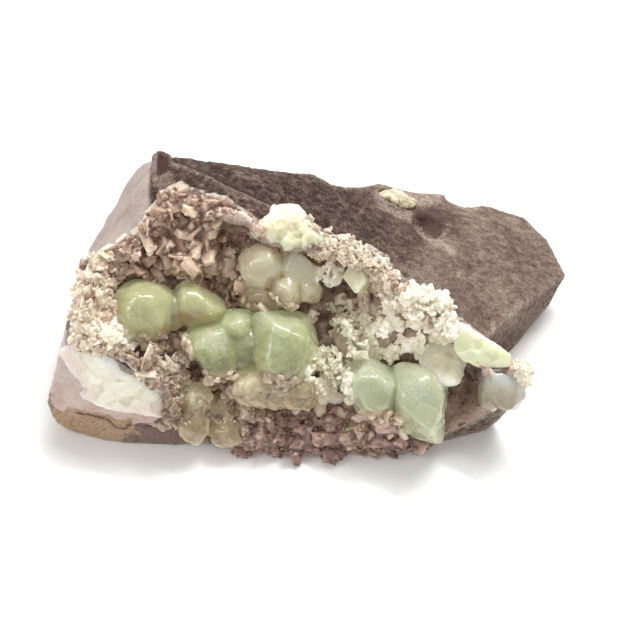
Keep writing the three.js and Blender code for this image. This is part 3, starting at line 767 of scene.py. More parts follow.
def grow(bm, shape, seed=0):
    """A crystal one unit tall, standing on the origin."""
    lift = Matrix.Translation((0, 0, 0.5))
    rng = np.random.default_rng(seed + 900)
    if shape in ("point", "blade"):
        foot, shoulder, waist = {"point": (0.40, 0.38, 0.70), "blade": (0.26, 0.46, 0.62)}[shape]
        bmesh.ops.create_cone(bm, cap_ends=True, segments=6, radius1=foot, radius2=shoulder,
                              depth=waist, matrix=Matrix.Translation((0, 0, waist / 2)))
        top = max(bm.faces, key=lambda face: face.calc_center_median().z)
        bmesh.ops.poke(bm, faces=[top])["verts"][0].co.z = 1
        if shape == "blade":
            bmesh.ops.scale(bm, vec=(1, 0.32, 1), verts=bm.verts)
    elif shape == "prism":
        bmesh.ops.create_cube(bm, size=1, matrix=lift)
        bmesh.ops.scale(bm, vec=(1, PRISM_DEPTH, 1), verts=bm.verts)
        sides = [(turn, rng.uniform(0.45, 0.95), rng.uniform(0.36, 0.46)) for turn in rng.uniform(0, 6.28, 3)]
        corners = [(turn, 0.0, rng.uniform(0.40, 0.50)) for turn in rng.uniform(0, 6.28, 2)]
        trimmed(bm, [(unit(np.array((math.cos(turn), math.sin(turn), rise * 1.6))), away)
                     for turn, rise, away in sides + corners])
    elif shape == "lump":
        bmesh.ops.create_icosphere(bm, subdivisions=3, radius=0.5)
        shift = Vector(rng.uniform(0, 90, 3))
        for vert in bm.verts:
            vert.co *= (1 + 0.34 * noise.noise(vert.co * 3.2 + shift)
                        + 0.22 * noise.noise(vert.co * 7.5 + shift))
        bmesh.ops.translate(bm, vec=(0, 0, 0.5), verts=bm.verts)
    elif shape == "flake":
        bmesh.ops.create_cube(bm, size=1, matrix=lift)
        bmesh.ops.scale(bm, vec=(1, 0.30, 1), verts=bm.verts)
        trimmed(bm, [((math.cos(turn), 0, math.sin(turn)), rng.uniform(0.34, 0.50))
                     for turn in rng.uniform(0, 6.28, 5)])
    elif shape == "chunk":
        bmesh.ops.create_cube(bm, size=1, matrix=lift)
        trimmed(bm, [(slope, rng.uniform(0.34, 0.50))
                     for slope in unit(rng.normal(0, 1, (7, 3)) * (1, 1, 0.8))])


def form(shape, seed=0):
    """A small crystal's points and faces."""
    bm = bmesh.new()
    grow(bm, shape, seed)
    bm.verts.index_update()
    points = np.array([v.co for v in bm.verts])
    faces = [[v.index for v in face.verts] for face in bm.faces]
    bm.free()
    return points, faces


def copies(shape, at, axis, sizes, words, seed, sink=0.25):
    """One mesh of many small crystals: where, which way up, how large, and what is written on each."""
    rng = np.random.default_rng(seed)
    count = len(at)
    points, faces = form(shape, seed)
    side = unit(np.cross(axis, rng.normal(0, 1, (count, 3))))
    across = np.cross(axis, side)
    bent = points[None] + rng.normal(0, BENT, (count, len(points), 3)) * (1, 1, 0.5)
    bent = bent * sizes[:, None, :]
    bent[:, :, 2] -= sink * sizes[:, None, 2]
    placed = (bent[:, :, :1] * side[:, None] + bent[:, :, 1:2] * across[:, None]
              + bent[:, :, 2:] * axis[:, None] + at[:, None])
    lengths = np.array([len(face) for face in faces])
    loops = np.concatenate([np.array(face) for face in faces])
    mesh = bpy.data.meshes.new("crystals")
    mesh.vertices.add(count * len(points))
    mesh.vertices.foreach_set("co", placed.astype(np.float32).ravel())
    mesh.loops.add(count * len(loops))
    offsets = np.arange(count)[:, None] * len(points)
    mesh.loops.foreach_set("vertex_index", (loops[None] + offsets).astype(np.int32).ravel())
    mesh.polygons.add(count * len(faces))
    starts = np.concatenate([[0], np.cumsum(lengths)[:-1]])[None] + np.arange(count)[:, None] * len(loops)
    mesh.polygons.foreach_set("loop_start", starts.astype(np.int32).ravel())
    mesh.update(calc_edges=True)
    # tip: 0 at a crystal's foot, 1 at its top; the finish paints shade at the foot from it
    write(mesh, crest=0.5, tip=np.tile(np.clip(points[:, 2], 0, 1), count),
          **{word: np.repeat(np.broadcast_to(values, count), len(points)) for word, values in words.items()})
    return new_object("crystals", mesh)


def kinds_of(kinds, shape, at, axis, sizes, words, seed, sink=0.25):
    """The same crystals shared out between several shapes of one habit."""
    for kind in range(kinds):
        pick = slice(kind, None, kinds)
        yield copies(shape, at[pick], axis[pick], sizes[pick],
                     {word: v if np.isscalar(v) else v[pick] for word, v in words.items()}, seed + kind, sink)


class Ground:
    """A surface that crystals grow on, in display-face millimetres."""

    def __init__(self, thing, hidden_by=()):
        mesh = thing.data
        mesh.calc_loop_triangles()
        self.corners = points_of(mesh)[numbers(mesh.loop_triangles, "vertices", 3, np.int32)]
        cross = np.cross(self.corners[:, 1] - self.corners[:, 0], self.corners[:, 2] - self.corners[:, 0])
        self.area = np.linalg.norm(cross, axis=1) / 2
        self.out = cross / np.maximum(self.area * 2, 1e-12)[:, None]
        self.hidden_by = hidden_by

    def sown(self, per_mm2, seed, where=None):
        """Places and outward directions of seeds, thinned by where(place, out) from 0 to 1."""
        rng = np.random.default_rng(seed)
        count = int(self.area.sum() * per_mm2)
        picked = rng.choice(len(self.area), count, p=self.area / self.area.sum())
        first, second = rng.random(count), rng.random(count)
        flip = first + second > 1
        first[flip], second[flip] = 1 - first[flip], 1 - second[flip]
        a, b, c = self.corners[picked].transpose(1, 0, 2)
        at = a + (b - a) * first[:, None] + (c - a) * second[:, None]
        out = self.out[picked]
        kept = rng.random(count) < (where(at, out) if where else 1) * (1 - hollow(at))
        at, out = at[kept], out[kept]
        open_air = [i for i, (p, n) in enumerate(zip(at, out)) if not self.covered(p, n)]
        return at[open_air], out[open_air]

    def covered(self, place, out):
        start = Vector(place + out * 0.02)
        return any(tree.ray_cast(start, Vector(out), 1.2)[0] is not None for tree in self.hidden_by)


def crop(ground, shape, per_mm2, seed, size, tone=0.5, where=None, each=1, reach=0.8, lean=0.45,
         blush=0.0, mint=0.0, sink=0.25, spread=0.30, kinds=1, up=0.0, lift=0.35):
    """One habit of crystal grown over a ground: singly, or in tufts of several that fan apart."""
    at, out = ground.sown(per_mm2, seed, where)
    rng = np.random.default_rng(seed + 1)
    at, out = np.repeat(at, each, 0), np.repeat(out, each, 0)
    axis = out + (0, 0, up) + rng.normal(0, lean, out.shape)
    if each > 1:
        fan = rng.normal(0, 1, out.shape)
        fan -= (fan * out).sum(1, keepdims=True) * out
        at = at + fan * reach * 0.5
        axis += fan * 0.5
    axis = unit(axis)
    sizes = rng.lognormal(0, spread, (len(at), 1)) * np.array(size) * rng.uniform(0.75, 1.3, (len(at), 3))
    tones = np.clip(tone + 0.30 * ripple(at, 3.0, seed, 2) + rng.normal(0, 0.09, len(at))
                    + lift * (rim_share(at) - 0.6), 0, 1)
    words = {"tone": tones, "blush": blush, "mint": mint}
    return list(kinds_of(kinds, shape, at, axis, sizes, words, seed + 2, sink))


def zone(u, v, wide, high):
    """How strongly crystals of one habit grow round a place on the face, 0 to 1."""
    def strength(at, out):
        away = np.hypot((at[:, 0] - u) / wide, (at[:, 1] - v) / high)
        return 1 - smoothstep(0.75, 1.1, away)
    return strength


def everywhere(at, out):
    return np.ones(len(at))


def on_front(where):
    """The part of a zone that faces out of the display face."""
    return lambda at, out: where(at, out) * (out[:, 2] > 0.1) * (at[:, 2] > -5)


def clumped(where, size=3.4, seed=61, gaps=0.0):
    """The same zone broken into clumps."""
    return lambda at, out: where(at, out) * smoothstep(-0.16 + gaps, 0.12 + gaps, ripple(at, size, seed, 2))


def part_of(where, low, high):
    """The stretch of a zone between two places along the face."""
    return lambda at, out: (where(at, out) * smoothstep(low - 1, low + 1, at[:, 0])
                            * smoothstep(high + 1, high - 1, at[:, 0]))


def rim_band(at, out):
    """The frosted band on the pocket's brow."""
    depth = within(at, POCKET_OUTLINE)
    upper = smoothstep(-4, 0, at[:, 1])
    return smoothstep(-0.2, 0.5, depth) * smoothstep(5.0, 3.4, depth) * upper * (out[:, 2] > -0.2)


def inner_rim(at, out):
    """The band just inside the pocket's broken edge."""
    depth = within(at, POCKET_OUTLINE)
    upper = smoothstep(-2, 2, at[:, 1])
    return smoothstep(0.4, 1.2, depth) * smoothstep(6, 3, depth) * upper * (out[:, 2] > 0)


pocket = Ground(wall, hidden_by=[rock_tree])
rock_skin = Ground(rock)
alcove, column = zone(-24.5, 11, 12, 10), zone(-14.6, 6, 3.4, 7)
left_rim, middle = zone(-43, 0, 6, 12), zone(9, -9, 4.6, 12)
front, lower_left = zone(8, -26, 24, 6.5), zone(-26, -16, 13, 11)
popcorn_clumps = clumped(zone(23, -3, 9, 6.5), gaps=0.10)
middle_clumps = clumped(middle, 3.0, gaps=0.08)

standing = [wall_tree, rock_tree]        # what later crystals can stand on


def height_at(u, v):
    """How far out of the face the highest thing at a place on it is."""
    hits = [tree.ray_cast(Vector((u, v, FROM_ABOVE)), Vector((0, 0, -1)))[0] for tree in standing]
    return max([0] + [hit.z for hit in hits if hit])


def sugar(name, mass, finish, slot, per_mm2, size, seed):
    """Fine grains over a fused mass, each a little lighter than what it grows on."""
    at, out = Ground(mass).sown(per_mm2, seed)
    rng = np.random.default_rng(seed + 1)
    below = np.array([standing[-1].find_nearest(p)[2] for p in at.tolist()])
    corner = np.array([mass.data.polygons[i].vertices[0] for i in below.tolist()])
    proud = rng.random(len(at)) < smoothstep(0.45, 0.80, read(mass.data, "crest")[corner])
    at, out, corner = at[proud], out[proud], corner[proud]
    axis = unit(out + rng.normal(0, 0.6, out.shape))
    sizes = rng.lognormal(0, 0.32, (len(at), 1)) * np.array(size) * rng.uniform(0.7, 1.35, (len(at), 3))
    words = {word: read(mass.data, word)[corner] for word in ("tone", "blush", "mint")}
    words["tone"] = np.clip(words["tone"] + 0.06 + rng.normal(0, 0.12, len(at)), 0, 1.3)
    standing_free(name, finish, slot, *kinds_of(6, "chunk", at, axis, sizes, words, seed + 2, 0.3))


def fused(name, finish, size, *grown, smooth=1, slot=druse_slot, relief=0.4, grains=None):
    """Crystals grown together into one mass, each keeping its own tone.

    grains, if given, are the finish, number to a square millimetre and size of fine grains on it.
    """
    loose = gathered(name, *grown)
    tree = tree_of(loose)
    first_corners = [face.vertices[0] for face in loose.data.polygons]
    words = {word: read(loose.data, word)[first_corners] for word in ("tone", "blush", "mint")}
    mass = remeshed(loose, size, smooth, KEPT)
    points = points_of(mass.data)
    fine = (0.17 * flat_faces(points, 1.15, 51) + 0.08 * flat_faces(points, 0.6, 52)
            + 0.04 * ripple(points, 0.8, 53, 3))
    points += outwards_of(mass.data) * (relief * fine)[:, None]
    move_points(mass.data, points)
    # crest and tip: the finish paints shade in the mass's hollows and near the pocket wall from them
    crest = np.clip(0.5 + standing_out(mass.data) / 0.7, 0, 1)
    nearest = [tree.find_nearest(p)[2] for p in points.tolist()]
    write(mass.data, crest=crest, tip=smoothstep(-0.2, 2.4, distance_to(wall_tree, points)),
          **{word: values[nearest] for word, values in words.items()})
    standing.append(tree_of(mass))
    if grains:
        loose_finish, per_mm2, grain_size = grains
        sugar(name + "_grains", mass, loose_finish, slot, per_mm2, grain_size, 700 + 11 * len(standing))
    return settle(mass, finish, slot)


def set_in(shape, least, seed, places, blush=0.15, mint=0.0, rise=1.0, lean=0.22):
    """Larger crystals set in one by one: place, width and height on the face, turn and tone of each."""
    rng = np.random.default_rng(seed)
    down = Vector((0, 0, -1))
    made = []
    for number, (u, v, wide, high, turn, tone) in enumerate(places):
        bm = bmesh.new()
        grow(bm, shape, seed + number)
        floors = [tree.ray_cast(Vector((u, v, FROM_ABOVE)), down)[0] for tree in (wall_tree, rock_tree)]
        ground = max([least] + [floor.z for floor in floors if floor])
        tall = rise * min(4.5, max(1.8, 0.5 * (wide + high)))
        heights = [vert.co.z for vert in bm.verts]
        leaning = Vector((*rng.normal(0, lean, 2), 1))
        upright = Vector((0, 0, 1)).rotation_difference(leaning).to_matrix().to_4x4()
        if shape == "prism":
            high /= PRISM_DEPTH
        bmesh.ops.transform(bm, verts=bm.verts, matrix=Matrix.Translation((u, v, ground - 0.3 * tall))
                            @ upright @ Matrix.Rotation(math.radians(turn), 4, "Z")
                            @ Matrix.Diagonal((wide, high, tall, 1)))
        mesh = mesh_of(bm, "crystal")
        # tip: 0 at a crystal's foot, 1 at its top; the finish paints shade at the foot from it
        write(mesh, tone=tone, crest=0.5, blush=blush, mint=mint, tip=np.clip(heights, 0, 1))
        made.append(new_object("crystal", mesh))
    return made


# the larger crystals: place, width and height on the face, turn, tone
ALCOVE_SET_IN = [
    (-23.2, 19.6, 3.5, 2.1, -15, 0.96), (-22.8, 16.1, 2.5, 1.8, 0, 0.84), (-29.0, 12.8, 2.9, 3.1, 20, 0.64),
    (-32.0, 13.7, 1.8, 5.5, 20, 0.82), (-27.5, 8.7, 3.9, 4.3, 10, 0.48), (-24.0, 8.3, 4.5, 4.3, 8, 1.45),
    (-19.7, 8.5, 4.3, 4.7, -10, 0.46), (-17.3, 13.7, 3.7, 1.6, 8, 0.80), (-15.0, 7.5, 3.1, 3.9, 0, 0.52),
    (-13.4, 4.0, 3.3, 3.9, -20, 0.56), (-16.2, 10.4, 2.7, 2.7, 30, 0.48), (-35.7, 8.1, 5.1, 1.6, 12, 0.56),
    (-26.5, 22.5, 3.7, 2.9, 30, 0.58), (-29.8, 18.6, 3.7, 3.3, 40, 0.40), (-30.2, 16.5, 3.1, 1.8, 10, 0.58),
    (-20.5, 13.2, 4.5, 4.5, -20, 0.36), (-22.2, 12.0, 2.9, 3.3, 15, 0.34), (-26.1, 13.7, 2.5, 5.8, 8, 0.26),
    (-31.4, 6.1, 1.6, 3.5, 30, 0.50), (-34.1, 11.2, 2.3, 3.1, 10, 0.34), (-36.8, 11.2, 2.3, 3.1, -10, 0.40),
    (-20.3, 20.6, 2.3, 1.8, 0, 0.40), (-27.3, 19.8, 3.1, 2.7, 20, 0.46), (-24.9, 17.2, 2.7, 2.3, -10, 0.42),
    (-17.9, 8.7, 2.5, 2.9, 10, 0.40), (-21.6, 4.0, 2.9, 2.1, 5, 0.26), (-11.7, 7.5, 2.1, 4.1, 0, 0.44)]
LEFT_RIM_SET_IN = [
    (-43.1, 8.7, 3.5, 2.7, 20, 0.74), (-40.1, 10.0, 3.1, 2.3, 30, 0.70), (-43.8, 5.9, 3.1, 2.7, 0, 0.66),
    (-40.9, 4.6, 2.9, 2.7, 10, 0.74), (-44.6, 2.8, 2.7, 2.7, 0, 0.70), (-42.3, 0.7, 3.5, 3.1, 0, 0.78),
    (-44.2, -1.7, 3.9, 3.1, 5, 0.78), (-41.7, -1.7, 2.3, 3.5, 10, 0.74), (-45.4, -4.6, 3.1, 3.1, 10, 0.74),
    (-42.5, -4.6, 3.1, 2.7, 20, 0.70), (-46.2, -6.9, 3.1, 1.8, 20, 0.70)]
FROSTED_RIM_SET_IN = [
    (1.0, 15.1, 3.1, 2.1, -40, 0.80), (11.3, 10.2, 3.5, 2.1, -35, 0.78), (16.0, 8.7, 1.4, 2.7, 30, 0.78),
    (18.1, 6.0, 2.1, 2.5, -60, 0.70), (2.7, 7.5, 2.3, 2.9, 0, 0.76)]
CAVE_SET_IN = [
    (7.8, 7.5, 1.0, 3.5, -5, 0.66), (12.5, 3.2, 3.1, 1.4, 30, 0.66), (12.1, 0.3, 2.7, 4.3, 5, 0.74),
    (14.4, 6.1, 1.8, 3.5, 10, 0.52), (16.4, 4.8, 2.3, 3.1, 0, 0.58), (17.5, 2.4, 2.7, 2.7, 0, 0.60),
    (9.7, -0.5, 1.4, 3.9, 0, 0.44), (7.2, 0.9, 2.7, 2.3, 0, 0.34), (1.0, -2.4, 1.6, 3.1, -20, 0.74),
    (14.6, -1.1, 2.5, 3.3, 0, 0.50)]
FRONT_LUMPS = [
    (-8.8, -27.0, 4.5, 3.3, 0, 0.52), (-4.9, -24.5, 3.1, 2.7, 20, 0.38), (-1.0, -25.8, 3.3, 2.5, 0, 0.44),
    (3.9, -27.8, 6.2, 3.5, 0, 0.38), (8.6, -28.0, 4.1, 3.1, 0, 0.44), (11.7, -27.0, 3.3, 3.7, 0, 1.05),
    (12.1, -23.9, 5.3, 2.9, 0, 1.0), (16.6, -25.4, 4.9, 3.7, 0, 0.90), (15.4, -28.7, 5.3, 2.5, 0, 0.42),
    (-6.2, -30.3, 1.8, 2.5, 0, 0.54), (11.9, -30.3, 2.9, 2.1, 0, 0.66), (5.1, -23.7, 5.3, 2.9, 0, 0.28),
    (19.5, -28.4, 3.3, 2.1, 0, 0.48), (-11.3, -28.7, 3.7, 2.1, 0, 0.50)]
FRONT_PLATES = [
    (-1.6, -22.3, 1.8, 4.7, -38, 0.74), (0.8, -21.1, 1.6, 3.5, -30, 0.68), (20.5, -26.4, 1.8, 4.1, 20, 0.82),
    (3.1, -21.5, 2.7, 3.3, 0, 0.48), (6.4, -19.0, 4.5, 2.7, -20, 0.62), (7.8, -22.1, 4.1, 2.1, -10, 0.30)]
POPCORN_SET_IN = [
    (19.9, -7.3, 3.5, 3.9, 0, 0.94), (18.9, -2.2, 2.7, 4.7, 10, 0.86), (20.5, 1.3, 4.3, 3.1, 20, 0.94),
    (23.6, 1.5, 3.5, 2.7, 0, 0.92), (27.1, 0.3, 4.3, 3.5, -20, 0.94), (23.2, -0.7, 2.7, 1.8, 0, 0.84),
    (24.6, -4.8, 5.1, 2.3, 5, 0.90), (29.0, -5.4, 2.1, 3.1, 0, 0.94), (29.0, -2.8, 2.7, 1.8, -20, 0.88),
    (22.8, -6.3, 1.6, 2.3, 0, 0.94), (23.0, -9.8, 1.2, 3.1, 0, 0.64), (18.5, -8.7, 3.1, 2.5, 0, 0.82),
    (17.9, -10.6, 3.1, 2.3, 0, 0.74), (15.4, -4.8, 3.9, 4.3, 0, 0.94), (27.1, -8.5, 3.3, 1.6, -10, 0.72),
    (2.7, -10.8, 3.1, 1.8, -15, 0.99), (0.0, -15.3, 2.7, 1.6, 0, 0.92)]
LOWER_LEFT_SET_IN = [
    (-44.6, -8.1, 2.9, 2.1, 10, 0.82), (-31.6, -8.5, 4.9, 1.8, -8, 0.70), (-28.3, -12.8, 3.9, 2.7, -10, 1.05),
    (-30.6, -12.2, 2.7, 2.0, 20, 1.05), (-32.2, -13.5, 4.1, 1.2, 0, 0.95), (-30.8, -15.3, 3.1, 2.3, 0, 0.46),
    (-27.7, -16.7, 2.9, 1.4, 10, 0.62), (-24.6, -18.6, 3.7, 2.5, 10, 0.82), (-21.6, -17.8, 3.1, 3.5, 0, 0.52),
    (-15.6, -18.0, 2.7, 3.5, 0, 0.50), (-26.1, -14.7, 3.3, 2.1, -20, 0.56), (-18.7, -16.3, 2.5, 2.1, 0, 0.34),
    (-11.7, -15.5, 2.1, 3.7, 0, 0.66), (-38.8, -9.1, 2.5, 2.5, 30, 0.60)]
LOWER_LEFT_LUMPS = [
    (-25.1, -10.4, 3.9, 4.7, 0, 0.64), (-12.1, -22.3, 3.7, 4.9, 0, 0.50), (-8.8, -23.3, 2.9, 2.9, 0, 0.40),
    (-30.2, -18.6, 3.3, 2.9, 0, 0.48), (-28.1, -20.6, 2.1, 4.5, 0, 0.32), (-14.2, -26.2, 3.7, 2.9, 0, 0.48)]
MIDDLE_SET_IN = [
    (8.2, -4.4, 3.1, 2.7, 0, 0.70), (11.5, -3.6, 2.7, 3.5, 10, 0.72), (9.7, -7.7, 2.7, 3.1, 0, 0.80),
    (7.4, -10.6, 3.5, 3.5, 10, 0.78), (10.5, -10.6, 3.1, 3.1, 0, 0.72), (7.8, -7.3, 1.8, 1.4, 0, 0.74),
    (5.5, -13.9, 3.1, 2.7, 0, 0.58), (8.2, -14.7, 2.3, 2.3, 20, 0.64), (3.5, -17.6, 2.7, 4.7, 10, 0.56),
    (15.0, -8.5, 3.9, 3.1, 0, 0.70), (12.9, -5.9, 2.1, 2.9, 0, 0.64), (1.0, -17.4, 2.3, 2.7, 0, 0.50)]

# fused masses, each from its own habits
fused("druse_alcove", rosy, 0.19,
      *crop(pocket, "flake", 0.22, 111, (2.0, 1.8, 1.8), 0.30, clumped(alcove), lean=0.6, blush=0.8, kinds=5),
      *crop(pocket, "prism", 0.12, 112, (2.1, 2.1, 2.0), 0.34, clumped(alcove), lean=0.5, blush=0.6, kinds=6),
      *set_in("prism", 3.0, 300, ALCOVE_SET_IN, lean=0.35),
      relief=0.3, smooth=2, grains=(rosy_free, 0.2, (0.8, 0.7, 0.8)))
fused("druse_left_rim", pale, 0.19,
      *crop(pocket, "flake", 0.55, 121, (1.5, 1.3, 1.3), 0.58, left_rim,
            blush=0.9, kinds=5, lean=0.6, spread=0.45),
      *crop(rock_skin, "flake", 1.0, 128, (1.2, 1.1, 0.8), 0.62, on_front(zone(-45.0, 1, 2.4, 10)),
            blush=0.8, kinds=4, lean=0.5),
      *set_in("lump", 3.0, 340, LEFT_RIM_SET_IN, blush=0.6, rise=0.7),
      smooth=2, grains=(pale_free, 0.8, (0.75, 0.55, 1.1)))
fused("druse_inner_rim", rosy, 0.19,
      *crop(rock_skin, "flake", 0.7, 118, (1.5, 1.3, 1.1), 0.52, part_of(inner_rim, -50, -7),
            lean=0.5, blush=0.6, kinds=4, lift=0),
      *crop(pocket, "prism", 0.35, 119, (1.2, 1.1, 1.5), 0.44, part_of(inner_rim, -50, -7),
            lean=0.5, blush=0.6, kinds=4), grains=(rosy_free, 0.8, (0.8, 0.7, 0.8)))
fused("druse_frosted_rim", pale, 0.18,
      *crop(rock_skin, "chunk", 2.2, 134, (0.8, 0.7, 0.45), 0.46, part_of(rim_band, 0, 60),
            lean=0.4, blush=0.3, kinds=6, lift=0, sink=0.1),
      *crop(pocket, "chunk", 1.3, 135, (1.1, 0.9, 0.8), 0.38, part_of(rim_band, 0, 60),
            lean=0.5, blush=0.4, kinds=5),
      *set_in("lump", 3.0, 380, FROSTED_RIM_SET_IN, blush=0.1, rise=0.5),
      *crop(rock_skin, "chunk", 2.0, 136, (1.4, 1.2, 0.8), 0.94, on_front(zone(45.4, -12.6, 3.0, 3.8)),
            blush=0.6, kinds=3, lift=0), grains=(pale_free, 1.6, (0.55, 0.5, 0.55)))
fused("druse_cave", pale, 0.19, *set_in("prism", 2.5, 420, CAVE_SET_IN, blush=0.2),
      smooth=2, grains=(sandy_free, 0.6, (0.7, 0.6, 0.8)))
fused("druse_front", mauve, 0.20,
      *crop(pocket, "chunk", 0.30, 114, (2.1, 1.9, 1.2), 0.40, front, blush=0.5, lean=0.4, kinds=6),
      *set_in("lump", -20, 440, FRONT_LUMPS, blush=0.5, rise=0.8),
      smooth=3, relief=0.3, grains=(rosy_free, 0.35, (0.55, 0.5, 0.8)))
fused("druse_front_plates", pale, 0.19, *set_in("prism", -4, 460, FRONT_PLATES, blush=0.5, rise=0.8),
      smooth=2)
fused("druse_popcorn", snowy, 0.18,
      *crop(pocket, "flake", 0.16, 126, (1.6, 1.4, 1.5), 0.84, popcorn_clumps, 4, 1.2,
            kinds=6, lift=0.1, lean=0.7),
      *crop(pocket, "prism", 0.22, 127, (1.6, 1.6, 1.6), 0.92, popcorn_clumps,
            kinds=6, lift=0.1, lean=0.5),
      *set_in("chunk", 4.5, 480, POPCORN_SET_IN, blush=0.1, mint=0.1),
      smooth=2, grains=(snowy_free, 0.9, (0.95, 0.6, 1.0)))
fused("druse_lower_left", sandy, 0.20,
      *crop(pocket, "flake", 0.45, 129, (1.5, 1.3, 1.3), 0.32, clumped(lower_left),
            blush=0.4, kinds=5, lean=0.6, spread=0.45),
      *crop(pocket, "flake", 0.9, 113, (1.4, 1.2, 1.4), 0.40, column, blush=0.6, kinds=4, lean=0.6),
      *set_in("prism", 3.0, 520, LOWER_LEFT_SET_IN, blush=0.2),
      *set_in("lump", 2.0, 540, LOWER_LEFT_LUMPS, blush=0.2),
      smooth=2, grains=(sandy_free, 0.9, (0.8, 0.65, 0.85)))
fused("druse_middle", pale, 0.19,
      *crop(pocket, "flake", 0.40, 130, (1.5, 1.3, 1.5), 0.54, middle_clumps,
            mint=0.5, kinds=6, lean=0.8),
      *crop(pocket, "prism", 0.20, 131, (1.2, 1.2, 1.6), 0.62, middle_clumps,
            mint=0.3, kinds=5, lean=0.7, spread=0.4),
      *set_in("chunk", 3.5, 560, MIDDLE_SET_IN, mint=0.45, blush=0.0),
      smooth=2, grains=(pale_free, 1.0, (0.8, 0.6, 0.9)))

# crystals that stand free
standing_free(
    "druse_rosy_crystals", rosy_free, druse_slot,
    *crop(pocket, "point", 0.15, 101, (1.0, 1.0, 1.2), 0.34, blush=0.5, spread=0.4, sink=0.5, lean=0.35),
    *crop(pocket, "point", 0.35, 117, (0.6, 0.6, 1.1), 0.55, front, blush=0.8, sink=0.35, lean=0.4))
standing_free(
    "druse_cream_crystals", pale_free, druse_slot,
    *crop(rock_skin, "point", 0.7, 124, (0.5, 0.5, 0.9), 0.95, on_front(zone(-17.5, 18.6, 4.5, 2.4)),
          lean=0.6, lift=0),
    *crop(pocket, "flake", 0.16, 125, (1.2, 0.6, 1.6), 0.80, clumped(middle), 3, 1.2,
          lean=0.6, mint=0.3, lift=0.1),
    *crop(pocket, "flake", 0.16, 138, (1.3, 0.6, 1.6), 0.92, popcorn_clumps, 3, 1.2, lean=0.6, lift=0.1),
    *crop(pocket, "flake", 0.12, 139, (1.2, 0.6, 1.3), 0.80, left_rim, 2, 1.0, lean=0.6, blush=0.5))
settle(rock, basalt_finish(), "basalt", "basalt_matrix")
settle(wall, druse_bed_finish(), druse_slot, "pocket_lining")


# ---------------------------------------------------------------- balls and lumps


def scattered_directions(count, seed):
    """Unit vectors spread evenly but not regularly."""
    rng = np.random.default_rng(seed)
    step = np.arange(count) + 0.5
    up = 1 - 2 * step / count
    turn = step * math.pi * (3 - math.sqrt(5)) + rng.uniform(0, 6.28)
    flat = np.sqrt(1 - up ** 2)
    spread = np.stack([flat * np.cos(turn), flat * np.sin(turn), up], 1)
    return unit(spread + rng.normal(0, 0.22, spread.shape))


def round_start(detail=5):
    """A ball's mesh before it is shaped, and the direction of each of its points."""
    bm = bmesh.new()
    bmesh.ops.create_icosphere(bm, subdivisions=detail, radius=1)
    mesh = mesh_of(bm, "ball")
    return mesh, points_of(mesh)


def ball(at, size, seed, facets=22, crisp=15, turn=0, detail=5, slump=0.02):
    """A rounded ball with soft flat facets."""
    mesh, out = round_start(detail)
    normals = scattered_directions(facets, seed)
    reach = np.random.default_rng(seed + 500).uniform(0.96, 1.04, facets)
    pull = np.maximum(out @ normals.T / reach, 0) ** crisp
    away = 1.05 * pull.sum(1) ** (-1 / crisp)
    away = away * (1 + 0.010 * ripple(out, 0.45, seed, 3) + slump * ripple(out, 1.1, seed + 1, 2))
    spin = np.array(Matrix.Rotation(math.radians(turn), 3, "Z"))
    move_points(mesh, (out * away[:, None] * size) @ spin.T + at)
    return new_object("ball", mesh)


def outlined(middle, rim, level, high, seed, crisp=28, facets=24, planes=()):
    """A faceted ball whose widest line follows an outline drawn round the middle of its group.

    planes adds facets: the direction and distance of each.
    """
    mesh, out = round_start()
    rng = np.random.default_rng(seed)
    rim = np.array(rim, float)
    centre = (rim.min(0) + rim.max(0)) / 2
    half = np.array((*(rim.max(0) - rim.min(0)) / 2, high))
    normals, reach = [], []
    for start, end in zip(rim, np.roll(rim, -1, 0)):
        side = unit(np.array((end[1] - start[1], start[0] - end[0])))
        away = side @ (start - centre)
        if away < 0:
            side, away = -side, -away
        slope = np.array((*side, rng.uniform(0.0, 0.4)))
        reach.append(away / np.linalg.norm(slope))
        normals.append(unit(slope))
    dome = [n for n in scattered_directions(facets, seed) if abs(n[2]) > 0.35]
    chosen = [(unit(np.array(plane[:3], float)), plane[3]) for plane in planes]
    dome = [(n, rng.uniform(0.95, 1.05)) for n in dome
            if all(n @ other < 0.85 for other, _ in chosen)] + chosen
    for facing, share in dome:
        normals.append(facing)
        reach.append(share * np.linalg.norm(facing * half))
    pull = np.maximum(out @ np.array(normals).T / np.array(reach), 0) ** crisp
    away = 1.07 * pull.sum(1) ** (-1 / crisp) * (1 + 0.012 * ripple(out, 0.5, seed, 3))
    move_points(mesh, out * away[:, None] + middle + (*centre, level))
    return new_object("ball", mesh)


def ball_group(name, node, lumps):
    """Balls grown into each other, placed from the middle of their CAD node."""
    middle = middle_of(node)
    made = [outlined(middle, **lump) if "rim" in lump else ball(middle + lump.pop("at"), **lump)
            for lump in [dict(lump) for lump in lumps]]
    first = joined(made[0], *made[1:]) if len(made) > 1 else made[0]
    first.name = first.data.name = name
    return first


def marks(points, spots, seed):
    """The strongest of several ragged ovals."""
    return np.maximum.reduce([blotch(points, at, radii, seed + i, 0.3) for i, (at, radii) in enumerate(spots)]
                             + [np.zeros(len(points))])


ball_skins = {}                          # where small crystals lap over the balls


